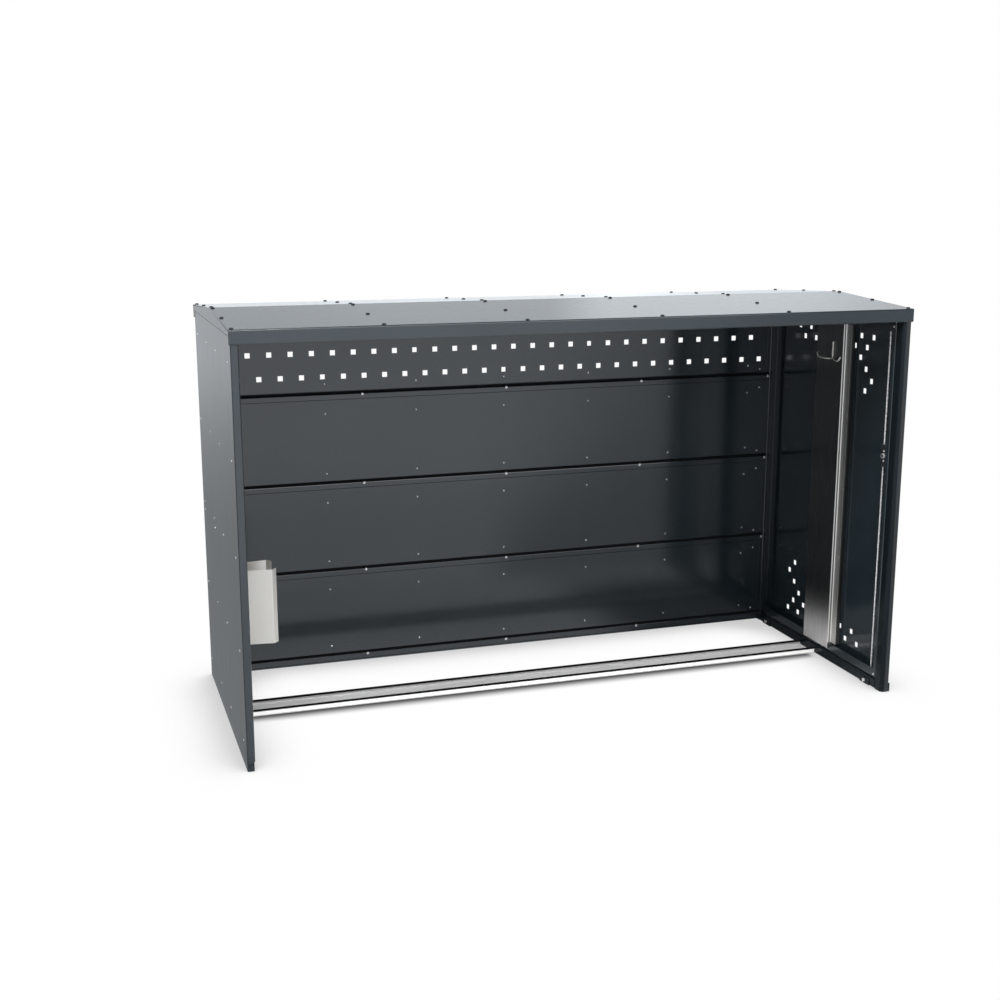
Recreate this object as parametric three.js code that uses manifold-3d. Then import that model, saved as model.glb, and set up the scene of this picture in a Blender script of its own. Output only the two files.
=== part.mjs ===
// A single bicycle locker: a sheet-steel shell on a light frame, open along one long side,
// with a perforated door in its right end, a floor channel and a front-wheel holder.
// Millimetres. +X runs along the locker to the door, +Y to the back wall, +Z up.
// The origin is on the ground, midway between the end walls and between front and back.
import * as THREE from "three";
import { mergeVertices } from "three/addons/utils/BufferGeometryUtils.js";
import Module from "manifold-3d";

const wasm = await Module();
wasm.setup();

// Driving dimensions of the shell
const bodyLength = 2100;
const bodyDepth = 866;
const eaveHeight = 1254;
const ridgeRise = 24.5;
const sheet = 1.5; // folded sheet of panels and roof
const plate = 2; // heavier sheet of rails, beams and brackets
const bend = 2.5; // inside radius of a fold
const bendSteps = 3;
const seat = 0.3; // gap between pieces that touch
const overrun = 5; // how far a cut runs past what it cuts
const mergeStep = 0.0001;
const roundSides = 20;

// Roof
const roofOverhang = 3.5;
const fasciaHeight = 41;
const fasciaHem = 12;
const gableDrop = 16; // height of the gable flange at the eaves
const ridgeGap = 0.4;
const ridgeStripWidth = 64;

// Frame members
const eaveBeamDepth = 30;
const eaveBeamInset = 2;
const rafterWidth = 40;
const rafterHeight = 30;
const rafterCount = 4;
const roofEndInset = 7; // from the end of the body to the line where the roof is screwed down

// Left end wall
const leftWallDepth = 23;
const leftLip = 30;
const footNotchHeight = 28;
const footNotchDepth = 3;
const channelWeb = 40;
const channelLeg = 18;
const channelFrontInset = 63; // from the front and back of the body to the outer channels
const channelRearInset = 49;
const channelBefore = 135.5; // from the middle of the wheel rail to the inner channels
const channelBehind = 91.5;
const baseRailHeight = 34;

// Door frame in the right end
const frameDepth = 29;
const postWidth = 38;
const postRound = 12; // outside radius of a post's edge between the inside and the jamb
const postSteps = 6;
const sillHeight = 33;
const headerDrop = 44; // from the eaves to the underside of the header
const kickThickness = 3;
const kickHeight = 28;

// Back wall
const panelCount = 4;
const topPanelHeight = 260;
const panelFoot = 33.8; // lower edge of the lowest panel
const panelSetback = 19; // from the back of the body to the inner face of the panels
const lapDepth = 8;
const jointGap = 7; // height of the recess under a panel's lower edge
const lapCover = 12; // how far a panel's lap runs up behind the panel above
const endFlange = 17;
const ribCount = 7;
const ribWidth = 24;
const ribInset = 77.8; // from the end of a panel to its first rib
const ribShift = -3;
const uprightWidth = 40;
const uprightShift = 6;
const uprightClear = 0.4;
const uprightRise = 32; // how far the uprights reach above the foot of the top panel

// Perforation of the top back panel
const holeSide = 17;
const holePitch = 70.7;
const holeRowDrop = 79.6;
const holeEndClear = 20; // least distance from a row to the end of the panel
const holeRowDepth = 129.2; // from the foot of the fascia to the upper row
const holeShift = 14.6; // both rows lie this far to the right of the panel's middle

// Door
const doorGap = 2.5;
const doorSillGap = 3;
const doorSkinSet = 1; // the skin lies this far inside the outer face of the frame
const doorPan = 26.5; // depth of the door's tray
const doorLip = 29; // lips along the top and bottom
const doorSideLip = 15;
const doorHolePitch = 35.8;
const doorHoleEdge = 62.5; // from the door's edge to the first row
const cornerHoleShares = [[4.5, 0], [6.5, 0], [3.5, 1], [5.5, 1]];
const tailHoleShares = [[4.5, 2], [5.5, 3], [6.5, 4], [5.5, 5]];

// Stiffener and hook inside the door
const coverFront = -96;
const coverRear = 71;
const coverWall = 11;
const coverFlange = 30;
const coverEndGap = 8;
const hookCentre = -38;
const hookDrop = 151; // from the top of the door to the bottom of the hook
const hookWire = 3;
const hookSpan = 73;
const hookRise = 13.5;
const hookReach = 17;
const hookStem = 57;
const hookSides = 10;
const hookSteps = 28;
// Half of the hook's wire, from the stem to a tip, as shares of its span, reach and rise
const hookShares = [[0.3, 0.3, -0.1], [0.7, 0.8, -0.1], [0.92, 1, 0.3], [1, 0.85, 1]];

// Rod lock
const lockHeight = 777.7;
const rodInset = 44; // from the edge of the door to the lock rods
const rodDepth = 16; // from the inner face of the door's skin lip plane to the rods' middle
const rodRadius = 3;
const rodPlay = 1;
const gearModule = 1.6;
const gearTeeth = 10;
const gearWidth = 6;
const toothSlack = 0.6; // taken off each tooth so that the gear runs free
const toothSlope = 0.364;
const rootClearance = 0.3;
const rackBody = 5;
const rackHold = 3.6; // how far a rack still reaches past the spindle at either end
const jogGap = 0.8;
const jogHeight = 3.6;
const spindleRadius = 5;
const caseHalfHeight = 36;
const caseDepth = 21;
const nutRadius = 8.5;
const nutHeight = 6;
const tipInset = 1;
const guideWidth = 20;
const guideHeight = 16;
const keeperThickness = 3.2;
const keeperLength = 60;
const slotAcross = 10; // openings for the rods in the sill, header and keepers
const slotAlong = 14;

// Handle and key cylinder on the outside of the door
const handlePlateWidth = 44;
const handlePlateAbove = 26;
const handlePlateBelow = 116;
const handlePlateThickness = 3;
const leverLength = 72;
const leverWidth = 22;
const leverThickness = 9;
const leverStandoff = 24;
const hubRadius = 15;
const keyInset = 24.5;
const cylinderDrop = 90;
const cylinderRadius = 9;
const cylinderLength = 22;
const cylinderRim = 12;
const cylinderRimHeight = 2.5;
const plugRadius = 6;
const keySlotWidth = 1.6;
const keySlotHeight = 8;
const keySlotDepth = 6;
const coverBoxWidth = 20.4;
const coverBoxHeight = 58;
const coverBoxDepth = 17;

// Hinges
const hingeHeight = 90;
const hingeLeaf = 31;
const hingeThickness = 2;
const hingeRadius = 5;
const hingePinRadius = 2.5;
const hingeStandoff = 6;
const hingeInset = 130; // from the door's edge to the middle of a hinge
const pinHead = 1.5;

// Floor channel, wheel holder and anchors
const railWidth = 100;
const railHeight = 17;
const railCentre = 39.5;
const holderFoot = 238;
const holderHeight = 237;
const holderReach = 129;
const holderBase = 90; // across the cheeks at the end wall
const holderMouth = 120; // across the cheeks where the wheel rolls in
const holderLip = 20;
const holderTurnDeg = 45; // the ends of the cheeks turn in towards the wheel
const backplateMargin = 22;
const tieInset = 58; // from the posts to the middle of the tie plates on the sill
const tieLength = 56;
const tieHeight = 22;
const tieBoltRadius = 6.5;
const tieBoltHead = 5;

// Derived places
const halfLength = bodyLength / 2;
const halfDepth = bodyDepth / 2;
const roofHalfLength = halfLength + roofOverhang;
const roofHalfDepth = halfDepth + roofOverhang;
const fasciaBottom = eaveHeight - fasciaHeight;
const gableSeam = eaveHeight - gableDrop;
const leftInner = -halfLength + leftWallDepth;
const leftSkin = -halfLength + sheet;
const frameInner = halfLength - frameDepth;
const postInner = halfDepth - postWidth;
const wallRun = [leftInner + seat, frameInner - seat];
const wallLength = wallRun[1] - wallRun[0];
const wallMiddle = (wallRun[0] + wallRun[1]) / 2;
const panelFace = halfDepth - panelSetback;
const lapFace = panelFace + lapDepth;
const beamOuter = halfDepth - eaveBeamInset;
const beamInner = beamOuter - eaveBeamDepth;
const doorEdge = postInner - doorGap;
const doorBottom = sillHeight + doorSillGap;
const headerBottom = eaveHeight - headerDrop;
const doorTop = headerBottom - doorSillGap;
const doorOuter = halfLength - doorSkinSet;
const doorSkinInner = doorOuter - sheet;
const doorLipFace = doorOuter - doorPan;
const doorMiddle = (doorBottom + doorTop) / 2;
const panelPitch = (fasciaBottom - seat - panelFoot - topPanelHeight) / (panelCount - 1);
const ribPitch = (wallLength - 2 * ribInset) / (ribCount - 1);
const uprightPitch = wallLength / 4;
const rafterSpacing = (bodyLength - 2 * roofEndInset) / (rafterCount + 1);
const holesPerRow = Math.floor((wallLength - 2 * holeEndClear) / holePitch);
const rodLine = -doorEdge + rodInset;
const keyLine = -doorEdge + keyInset;
const channelPlaces = {
  front: -halfDepth + channelFrontInset,
  middle_front: railCentre - channelBefore,
  middle_rear: railCentre + channelBehind,
  rear: halfDepth - channelRearInset,
};
const pitchRadius = (gearModule * gearTeeth) / 2;
const rootDepth = gearModule + rootClearance;
const spindleLine = rodLine - pitchRadius - rootDepth - rackBody / 2;
const rodX = doorOuter - sheet - rodDepth + rodRadius;
const keyHeight = lockHeight - cylinderDrop;

const roofUnder = (y) => eaveHeight + ridgeRise * (1 - Math.abs(y) / roofHalfDepth) - sheet;

// Turns a closed three.js geometry into a solid for joining and cutting.
function solidOf(geometry) {
  geometry.deleteAttribute("normal");
  geometry.deleteAttribute("uv");
  const merged = mergeVertices(geometry, mergeStep);
  const triVerts = new Uint32Array(merged.index.array);
  const vertProperties = merged.attributes.position.array;
  return new wasm.Manifold(new wasm.Mesh({ numProp: 3, vertProperties, triVerts }));
}

function block([x0, x1], [y0, y1], [z0, z1]) {
  const box = new THREE.BoxGeometry(x1 - x0, y1 - y0, z1 - z0);
  box.translate((x0 + x1) / 2, (y0 + y1) / 2, (z0 + z1) / 2);
  return solidOf(box);
}

const bases = {
  x: [new THREE.Vector3(0, 1, 0), new THREE.Vector3(0, 0, 1), new THREE.Vector3(1, 0, 0)],
  y: [new THREE.Vector3(0, 0, 1), new THREE.Vector3(1, 0, 0), new THREE.Vector3(0, 1, 0)],
  z: [new THREE.Vector3(1, 0, 0), new THREE.Vector3(0, 1, 0), new THREE.Vector3(0, 0, 1)],
};

// Extrudes an outline along an axis: points are (y, z) for x, (z, x) for y and (x, y) for z.
function extrude(axis, points, from, to) {
  const shape = new THREE.Shape(points.map(([u, v]) => new THREE.Vector2(u, v)));
  const geometry = new THREE.ExtrudeGeometry(shape, { depth: to - from, bevelEnabled: false });
  geometry.translate(0, 0, from);
  geometry.applyMatrix4(new THREE.Matrix4().makeBasis(...bases[axis]));
  return solidOf(geometry);
}

function circle(radius, sides = roundSides, [u, v] = [0, 0]) {
  return Array.from({ length: sides }, (_, i) => {
    const angle = (2 * Math.PI * (i + 1 / 2)) / sides;
    return [u + radius * Math.cos(angle), v + radius * Math.sin(angle)];
  });
}

const rod = (axis, radius, centre, from, to, sides) =>
  extrude(axis, circle(radius, sides, centre), from, to);

// Rounds the inner corners of an open path whose sheet lies on its left.
function roundedPath(path, thickness) {
  const points = path.map(([u, v]) => new THREE.Vector2(u, v));
  return points.flatMap((corner, i) => {
    if (i === 0 || i === points.length - 1) return [corner];
    const before = corner.clone().sub(points[i - 1]).normalize();
    const after = points[i + 1].clone().sub(corner).normalize();
    const turn = Math.atan2(before.cross(after), before.dot(after));
    const radius = turn > 0 ? bend + thickness : bend;
    const side = Math.sign(turn);
    const reach = radius * Math.tan(Math.abs(turn) / 2);
    const normal = new THREE.Vector2(-before.y, before.x).multiplyScalar(side * radius);
    const start = corner.clone().addScaledVector(before, -reach);
    const centre = start.clone().add(normal);
    return Array.from({ length: bendSteps + 1 }, (_, k) =>
      start.clone().rotateAround(centre, (turn * k) / bendSteps));
  });
}

// The section of a folded sheet: the path is one face, and the sheet lies on its left.
function folded(path, thickness = sheet) {
  const face = roundedPath(path, thickness);
  const other = face.map((point, i) => {
    const sides = [[i - 1, i], [i, i + 1]]
      .filter(([a, b]) => a >= 0 && b < face.length)
      .map(([a, b]) => face[b].clone().sub(face[a]).normalize())
      .map((run) => new THREE.Vector2(-run.y, run.x));
    const sum = sides.reduce((total, normal) => total.clone().add(normal));
    const scale = (thickness * sides.length) / sum.lengthSq();
    return point.clone().addScaledVector(sum, scale);
  });
  return [...face, ...other.reverse()].map((point) => [point.x, point.y]);
}

const mirrored = (points) => points.map(([u, v]) => [-u, v]);

const evenly = (radius) => Array(4).fill(radius);

// A rectangle with rounded corners, whose radii go round from the corner at u1 and v1.
function roundedRectangle([u0, u1], [v0, v1], radii) {
  const corners = [[u1, v1, 0], [u0, v1, 1], [u0, v0, 2], [u1, v0, 3]];
  return corners.flatMap(([u, v, quarter]) => {
    const radius = radii[quarter];
    const steps = radius > bend + sheet ? postSteps : bendSteps;
    const centre = [u + (u === u1 ? -radius : radius), v + (v === v1 ? -radius : radius)];
    return Array.from({ length: steps + 1 }, (_, k) => {
      const angle = ((quarter + k / steps) * Math.PI) / 2;
      return [centre[0] + radius * Math.cos(angle), centre[1] + radius * Math.sin(angle)];
    });
  });
}

// A rectangular tube with rounded edges, open at both ends.
function tube(axis, u, v, from, to, rounds = evenly(bend + sheet)) {
  const outer = extrude(axis, roundedRectangle(u, v, rounds), from, to);
  const [inU, inV] = [u, v].map(([low, high]) => [low + sheet, high - sheet]);
  const inside = roundedRectangle(inU, inV, rounds.map((round) => round - sheet));
  return outer.subtract(extrude(axis, inside, from - overrun, to + overrun));
}

// The outline in (y, z) of a band that follows the roof's underside between two depths.
function pitchedBand(fromY, toY, below, height) {
  const ys = [fromY, 0, toY];
  const top = ys.map((y) => [y, roofUnder(y) - below]);
  return [...top, ...top.map(([y, z]) => [y, z - height]).reverse()];
}

// Everything above the roof's underside, for cutting what stands beneath it.
const aboveRoof = extrude(
  "x",
  pitchedBand(-roofHalfDepth - overrun, roofHalfDepth + overrun, seat, -fasciaHeight - ridgeRise),
  -roofHalfLength - overrun,
  roofHalfLength + overrun,
);

const finishes = {
  paint: { color: 0x3a4349, roughness: 0.38, metalness: 0.1 },
  zinc: { color: 0x9a9c9c, roughness: 0.45, metalness: 0.8 },
  stainless: { color: 0xb9b5ae, roughness: 0.32, metalness: 0.9 },
  rail: { color: 0xd6d5d2, roughness: 0.35, metalness: 0.6 },
  black: { color: 0x17191a, roughness: 0.6, metalness: 0 },
  chrome: { color: 0xd2d3d4, roughness: 0.15, metalness: 1 },
};

const locker = new THREE.Group();

function place(group, name, solid, finish) {
  const mesh = solid.getMesh();
  const geometry = new THREE.BufferGeometry();
  geometry.setAttribute("position", new THREE.BufferAttribute(mesh.vertProperties, 3));
  geometry.setIndex(new THREE.BufferAttribute(mesh.triVerts, 1));
  const made = new THREE.Mesh(geometry, new THREE.MeshStandardMaterial(finishes[finish]));
  made.name = name;
  group.add(made);
  return made;
}

// An upside-down channel that follows the roof's underside.
function pitchedChannel(x0, x1, halfRun) {
  const outer = extrude("x", pitchedBand(-halfRun, halfRun, seat, rafterHeight), x0, x1);
  const hollow = pitchedBand(-halfRun - overrun, halfRun + overrun, seat + plate, rafterHeight);
  return outer.subtract(extrude("x", hollow, x0 + plate, x1 - plate));
}

function buildLeftWall(group) {
  const lipEnd = halfDepth - leftLip;
  const section = [
    [leftInner, -lipEnd],
    [leftInner, -halfDepth],
    [-halfLength, -halfDepth],
    [-halfLength, halfDepth],
    [leftInner, halfDepth],
    [leftInner, lipEnd],
  ];
  const notch = [leftInner - footNotchDepth, leftInner + overrun];
  const skin = extrude("z", folded(section.reverse()), 0, eaveHeight + ridgeRise)
    .subtract(aboveRoof)
    .subtract(block(notch, [-halfDepth - overrun, halfDepth + overrun], [-overrun, footNotchHeight]));
  place(group, "left_wall_skin", skin, "paint");

  const railX = [leftSkin + seat, leftInner - sheet - seat];
  const baseRun = halfDepth - sheet - bend;
  place(group, "left_top_rail", pitchedChannel(...railX, baseRun), "zinc");

  const base = [
    [baseRailHeight, railX[1] - footNotchDepth],
    [0, railX[1] - footNotchDepth],
    [0, railX[0]],
    [baseRailHeight, railX[0]],
  ];
  place(group, "left_base_rail", extrude("y", folded(base, plate), -baseRun, baseRun), "zinc");

  for (const [place_, y] of Object.entries(channelPlaces)) {
    const section = [
      [leftSkin + seat + channelLeg, y + channelWeb / 2],
      [leftSkin + seat, y + channelWeb / 2],
      [leftSkin + seat, y - channelWeb / 2],
      [leftSkin + seat + channelLeg, y - channelWeb / 2],
    ];
    const top = roofUnder(Math.abs(y) + channelWeb / 2) - seat - rafterHeight - seat;
    const channel = extrude("z", folded(section), baseRailHeight + seat, top);
    place(group, `left_channel_${place_}`, channel, "zinc");
  }
}

function buildDoorFrame(group) {
  const across = [frameInner, halfLength];
  const rodSlot = (from, to) => block(
    [rodX - slotAcross / 2, rodX + slotAcross / 2],
    [rodLine - slotAlong / 2, rodLine + slotAlong / 2],
    [from, to],
  );
  const postTop = eaveHeight + ridgeRise;
  const fold = bend + sheet;
  const posts = {
    front: tube("z", across, [-halfDepth, -postInner], 0, postTop, [fold, fold, postRound, fold]),
    rear: tube("z", across, [postInner, halfDepth], 0, postTop, [fold, postRound, fold, fold]),
  };
  for (const [side, post] of Object.entries(posts)) {
    place(group, `door_post_${side}`, post.subtract(aboveRoof), "paint");
  }
  const run = postInner - seat;
  const sill = tube("y", [0, sillHeight], across, -run, run)
    .subtract(rodSlot(sillHeight - 2 * sheet, sillHeight + overrun));
  place(group, "door_sill", sill, "paint");

  const band = (inset) => [
    [-run - overrun * Math.sign(inset), headerBottom + inset],
    [run + overrun * Math.sign(inset), headerBottom + inset],
    [run + overrun * Math.sign(inset), roofUnder(run) - seat - inset],
    [0, roofUnder(0) - seat - inset],
    [-run - overrun * Math.sign(inset), roofUnder(run) - seat - inset],
  ];
  const header = extrude("x", band(0), ...across)
    .subtract(extrude("x", band(sheet), frameInner + sheet, halfLength - sheet))
    .subtract(rodSlot(headerBottom - overrun, headerBottom + 2 * sheet));
  place(group, "door_header", header, "paint");

  const kick = block(
    [halfLength + seat, halfLength + seat + kickThickness],
    [-halfDepth, halfDepth],
    [0, kickHeight],
  );
  place(group, "kick_strip", kick, "paint");

  const keeperY = [rodLine - keeperLength / 4, rodLine + (keeperLength * 3) / 4];
  const keeperX = [frameInner + sheet + bend, halfLength - sheet - bend];
  const keepers = {
    upper: headerBottom + sheet + seat,
    lower: sillHeight - sheet - seat - keeperThickness,
  };
  for (const [side, z] of Object.entries(keepers)) {
    const keeper = block(keeperX, keeperY, [z, z + keeperThickness])
      .subtract(rodSlot(z - overrun, z + keeperThickness + overrun));
    place(group, `keeper_${side}`, keeper, "zinc");
  }
}

function buildRoof(group) {
  const runX = wallRun;
  for (const [side, sign] of [["front", -1], ["rear", 1]]) {
    const beam = [
      [beamInner, roofUnder(beamInner) - seat],
      [beamOuter, roofUnder(beamOuter) - seat],
      [beamOuter, fasciaBottom + plate],
      [beamInner, fasciaBottom + plate],
    ].reverse();
    const section = folded(beam, plate);
    const turned = sign < 0 ? mirrored(section) : section;
    place(group, `eave_beam_${side}`, extrude("x", turned, ...runX), "zinc");
  }

  const strip = extrude(
    "x",
    pitchedBand(-ridgeStripWidth / 2, ridgeStripWidth / 2, seat, sheet),
    runX[0] + channelLeg,
    runX[1] - channelLeg,
  );
  place(group, "ridge_strip", strip, "zinc");

  const half = ridgeStripWidth / 2 + seat;
  const notchHeight = overrun + 2 * seat + sheet;
  const notch = extrude("x", pitchedBand(-half, half, -overrun, notchHeight), -halfLength, halfLength);
  for (let i = 0; i < rafterCount; i += 1) {
    const x = (i - (rafterCount - 1) / 2) * rafterSpacing;
    const rafter = pitchedChannel(x - rafterWidth / 2, x + rafterWidth / 2, beamInner - seat);
    place(group, `rafter_${i + 1}`, rafter.subtract(notch), "zinc");
  }

  for (const [side, sign] of [["front", -1], ["rear", 1]]) {
    const ridge = eaveHeight + ridgeRise * (1 - ridgeGap / 2 / roofHalfDepth);
    const path = [
      [-ridgeGap / 2, ridge],
      [-roofHalfDepth, eaveHeight],
      [-roofHalfDepth, fasciaBottom],
      [-roofHalfDepth + fasciaHem, fasciaBottom],
    ];
    const gable = [
      [-ridgeGap / 2, ridge - sheet / 2],
      [-roofHalfDepth + sheet / 2, eaveHeight - bend - sheet],
      [-roofHalfDepth + sheet / 2, gableSeam],
      [-ridgeGap / 2, gableSeam],
    ];
    const turned = (points) => (sign > 0 ? mirrored(points) : points);
    const hemY = [halfDepth + seat, beamInner].map((y) => sign * y).sort((a, b) => a - b);
    const hemZ = [fasciaBottom - overrun, fasciaBottom + bend + sheet];
    const roof = extrude("x", turned(folded(path)), -roofHalfLength, roofHalfLength)
      .subtract(block([-roofHalfLength - overrun, runX[0]], hemY, hemZ))
      .subtract(block([runX[1], roofHalfLength + overrun], hemY, hemZ))
      .add(extrude("x", turned(gable), -roofHalfLength, -roofHalfLength + sheet))
      .add(extrude("x", turned(gable), roofHalfLength - sheet, roofHalfLength));
    place(group, `roof_sheet_${side}`, roof, "paint");
  }
}

function perforation() {
  const cuts = [];
  for (let row = 0; row < 2; row += 1) {
    for (let i = 0; i < holesPerRow; i += 1) {
      const shift = row === 0 ? -1 / 4 : 1 / 4;
      const x = wallMiddle + holeShift + (i - (holesPerRow - 1) / 2 + shift) * holePitch;
      const z = fasciaBottom - holeRowDepth - row * holeRowDrop;
      cuts.push(block(
        [x - holeSide / 2, x + holeSide / 2],
        [panelFace - overrun, lapFace + overrun],
        [z - holeSide / 2, z + holeSide / 2],
      ));
    }
  }
  return cuts;
}

function buildBackWall(group) {
  const runX = wallRun;
  const topEdge = fasciaBottom - seat;
  for (let i = 0; i < panelCount; i += 1) {
    const foot = panelFoot + i * panelPitch;
    const isTop = i === panelCount - 1;
    const head = isTop ? topEdge : foot + panelPitch - jointGap;
    const lap = isTop ? [] : [[lapFace, foot + panelPitch + lapCover]];
    const path = [
      [lapFace - seat, foot],
      [panelFace, foot],
      [panelFace, head],
      [lapFace - (isTop ? seat : 0), head],
      ...lap,
    ];
    const section = folded(path.map(([y, z]) => [-y, z]));
    let panel = extrude("x", mirrored(section), ...runX);
    for (const [from, to] of [[runX[0], runX[0] + sheet], [runX[1] - sheet, runX[1]]]) {
      panel = panel.add(block(
        [from, to],
        [panelFace - endFlange, panelFace + sheet],
        [foot + bend + sheet, head - bend - sheet],
      ));
    }
    for (let k = 0; k < ribCount; k += 1) {
      const x = wallMiddle + ribShift + (k - (ribCount - 1) / 2) * ribPitch;
      const back = panelFace + sheet;
      const ribZ = [foot + bend + sheet, head - bend - sheet];
      const rib = block([x - ribWidth / 2, x + ribWidth / 2], [back - sheet / 2, lapFace], ribZ)
        .subtract(block(
          [x - ribWidth / 2 + sheet, x + ribWidth / 2 - sheet],
          [back, lapFace - sheet],
          [foot - overrun, head + overrun],
        ));
      panel = panel.add(rib);
    }
    if (isTop) for (const cut of perforation()) panel = panel.subtract(cut);
    place(group, `back_panel_${i + 1}`, panel, "paint");
  }

  const sill = [
    [-lapFace, panelFoot + lapCover],
    [-lapFace, panelFoot - jointGap],
    [-panelFace, panelFoot - jointGap],
    [-panelFace, 0],
    [-halfDepth, 0],
  ];
  const sillSection = mirrored(folded(flipPath(sill), sheet));
  place(group, "back_sill", extrude("x", sillSection, ...runX), "paint");

  const uprightTop = panelFoot + (panelCount - 1) * panelPitch + uprightRise;
  for (const [i, name] of ["left", "middle", "right"].entries()) {
    const x = wallMiddle + uprightShift + (i - 1) * uprightPitch;
    const inner = lapFace + sheet + uprightClear;
    const section = [
      [x + uprightWidth / 2, inner],
      [x + uprightWidth / 2, halfDepth],
      [x - uprightWidth / 2, halfDepth],
      [x - uprightWidth / 2, inner],
    ];
    const upright = extrude("z", folded(section), sheet + bend, uprightTop);
    place(group, `back_upright_${name}`, upright, "paint");
  }
}

// The same path walked from its other end, so that the sheet lies on its other side.
function flipPath(path) {
  return [...path].reverse();
}

function buildFloor(group) {
  const railX = [leftInner - sheet - seat - footNotchDepth + seat, frameInner - seat];
  const half = railWidth / 2;
  const section = [
    [railCentre - half, railHeight],
    [railCentre - half, 0],
    [railCentre + half, 0],
    [railCentre + half, railHeight],
  ];
  place(group, "wheel_rail", extrude("x", folded(section, plate), ...railX), "rail");

  const plateX = leftSkin + seat + channelLeg + seat;
  const plateY = [
    channelPlaces.middle_front - backplateMargin,
    channelPlaces.middle_rear + backplateMargin,
  ];
  const heights = [holderFoot, holderFoot + holderHeight];
  const backplate = block([plateX, plateX + plate], plateY, heights);
  place(group, "holder_backplate", backplate, "stainless");

  const web = plateX + plate + seat;
  const turned = THREE.MathUtils.degToRad(holderTurnDeg);
  const free = web + holderReach;
  const tip = [holderLip * Math.cos(turned), holderLip * Math.sin(turned)];
  const [baseHalf, mouthHalf] = [holderBase / 2, holderMouth / 2];
  const cheeks = [
    [free + tip[0], railCentre + mouthHalf - tip[1]],
    [free, railCentre + mouthHalf],
    [web, railCentre + baseHalf],
    [web, railCentre - baseHalf],
    [free, railCentre - mouthHalf],
    [free + tip[0], railCentre - mouthHalf + tip[1]],
  ];
  place(group, "wheel_holder", extrude("z", folded(cheeks, plate), ...heights), "stainless");

  for (const [side, sign] of [["front", -1], ["rear", 1]]) {
    const y = sign * (postInner - tieInset);
    const wall = frameInner - seat;
    const tie = block([wall - plate, wall], [y - tieLength / 2, y + tieLength / 2], [0, tieHeight]);
    place(group, `sill_tie_${side}`, tie, "paint");
    const head = wall - plate - seat;
    const bolt = rod("x", tieBoltRadius, [y, tieHeight / 2], head - tieBoltHead, head, 6);
    place(group, `sill_tie_bolt_${side}`, bolt, "chrome");
  }
}

function doorTray() {
  const pan = (inset, radius) => {
    const x = [doorLipFace + inset, doorOuter - inset];
    const y = [-doorEdge + inset, doorEdge - inset];
    const z = [doorBottom + inset, doorTop - inset];
    const upright = extrude("z", roundedRectangle(x, y, evenly(radius)), ...z);
    return upright.intersect(extrude("y", roundedRectangle(z, x, evenly(radius)), ...y));
  };
  const window = block(
    [doorLipFace - overrun, doorLipFace + bend + sheet],
    [-doorEdge + doorSideLip, doorEdge - doorSideLip],
    [doorBottom + doorLip, doorTop - doorLip],
  );
  let tray = pan(0, bend + sheet).subtract(pan(sheet, bend)).subtract(window);
  for (const ySign of [-1, 1]) {
    for (const zSign of [-1, 1]) {
      const tail = ySign * zSign < 0 ? tailHoleShares : [];
      for (const [column, row] of [...cornerHoleShares, ...tail]) {
        const y = ySign * column * doorHolePitch;
        const reach = (doorTop - doorBottom) / 2 - doorHoleEdge - row * doorHolePitch;
        const z = doorMiddle + zSign * reach;
        tray = tray.subtract(block(
          [doorSkinInner - overrun, doorOuter + overrun],
          [y - holeSide / 2, y + holeSide / 2],
          [z - holeSide / 2, z + holeSide / 2],
        ));
      }
    }
  }
  const rodCuts = [[doorBottom - overrun, doorBottom + overrun], [doorTop - overrun, doorTop + overrun]];
  for (const [from, to] of rodCuts) {
    tray = tray.subtract(rod("z", rodRadius + rodPlay, [rodX, rodLine], from, to));
  }
  const outward = [doorSkinInner - overrun, doorOuter + overrun];
  return tray
    .subtract(rod("x", spindleRadius + rodPlay, [spindleLine, lockHeight], ...outward))
    .subtract(rod("x", cylinderRadius + seat, [keyLine, keyHeight], ...outward));
}

function hookSolid(faceX) {
  const ring = new THREE.Shape(circle(hookWire, hookSides).map(([u, v]) => new THREE.Vector2(u, v)));
  const stemX = faceX - seat - hookWire;
  const hookHeight = doorTop - hookDrop;
  const at = ([across, out, up], sign) => new THREE.Vector3(
    stemX - out * hookReach,
    hookCentre + sign * across * hookSpan,
    hookHeight + up * hookRise,
  );
  const half = (sign) => hookShares.map((share) => at(share, sign));
  const route = [...half(-1).reverse(), at([0, 0, 0], 1), ...half(1)];
  const sweep = (points, steps) => solidOf(new THREE.ExtrudeGeometry(ring, {
    steps,
    bevelEnabled: false,
    extrudePath: new THREE.CatmullRomCurve3(points),
  }));
  const stemZ = [hookHeight - hookWire / 2, hookHeight + hookStem];
  const stem = rod("z", hookWire, [stemX, hookCentre], ...stemZ, hookSides);
  return sweep(route, hookSteps).add(stem);
}

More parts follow.
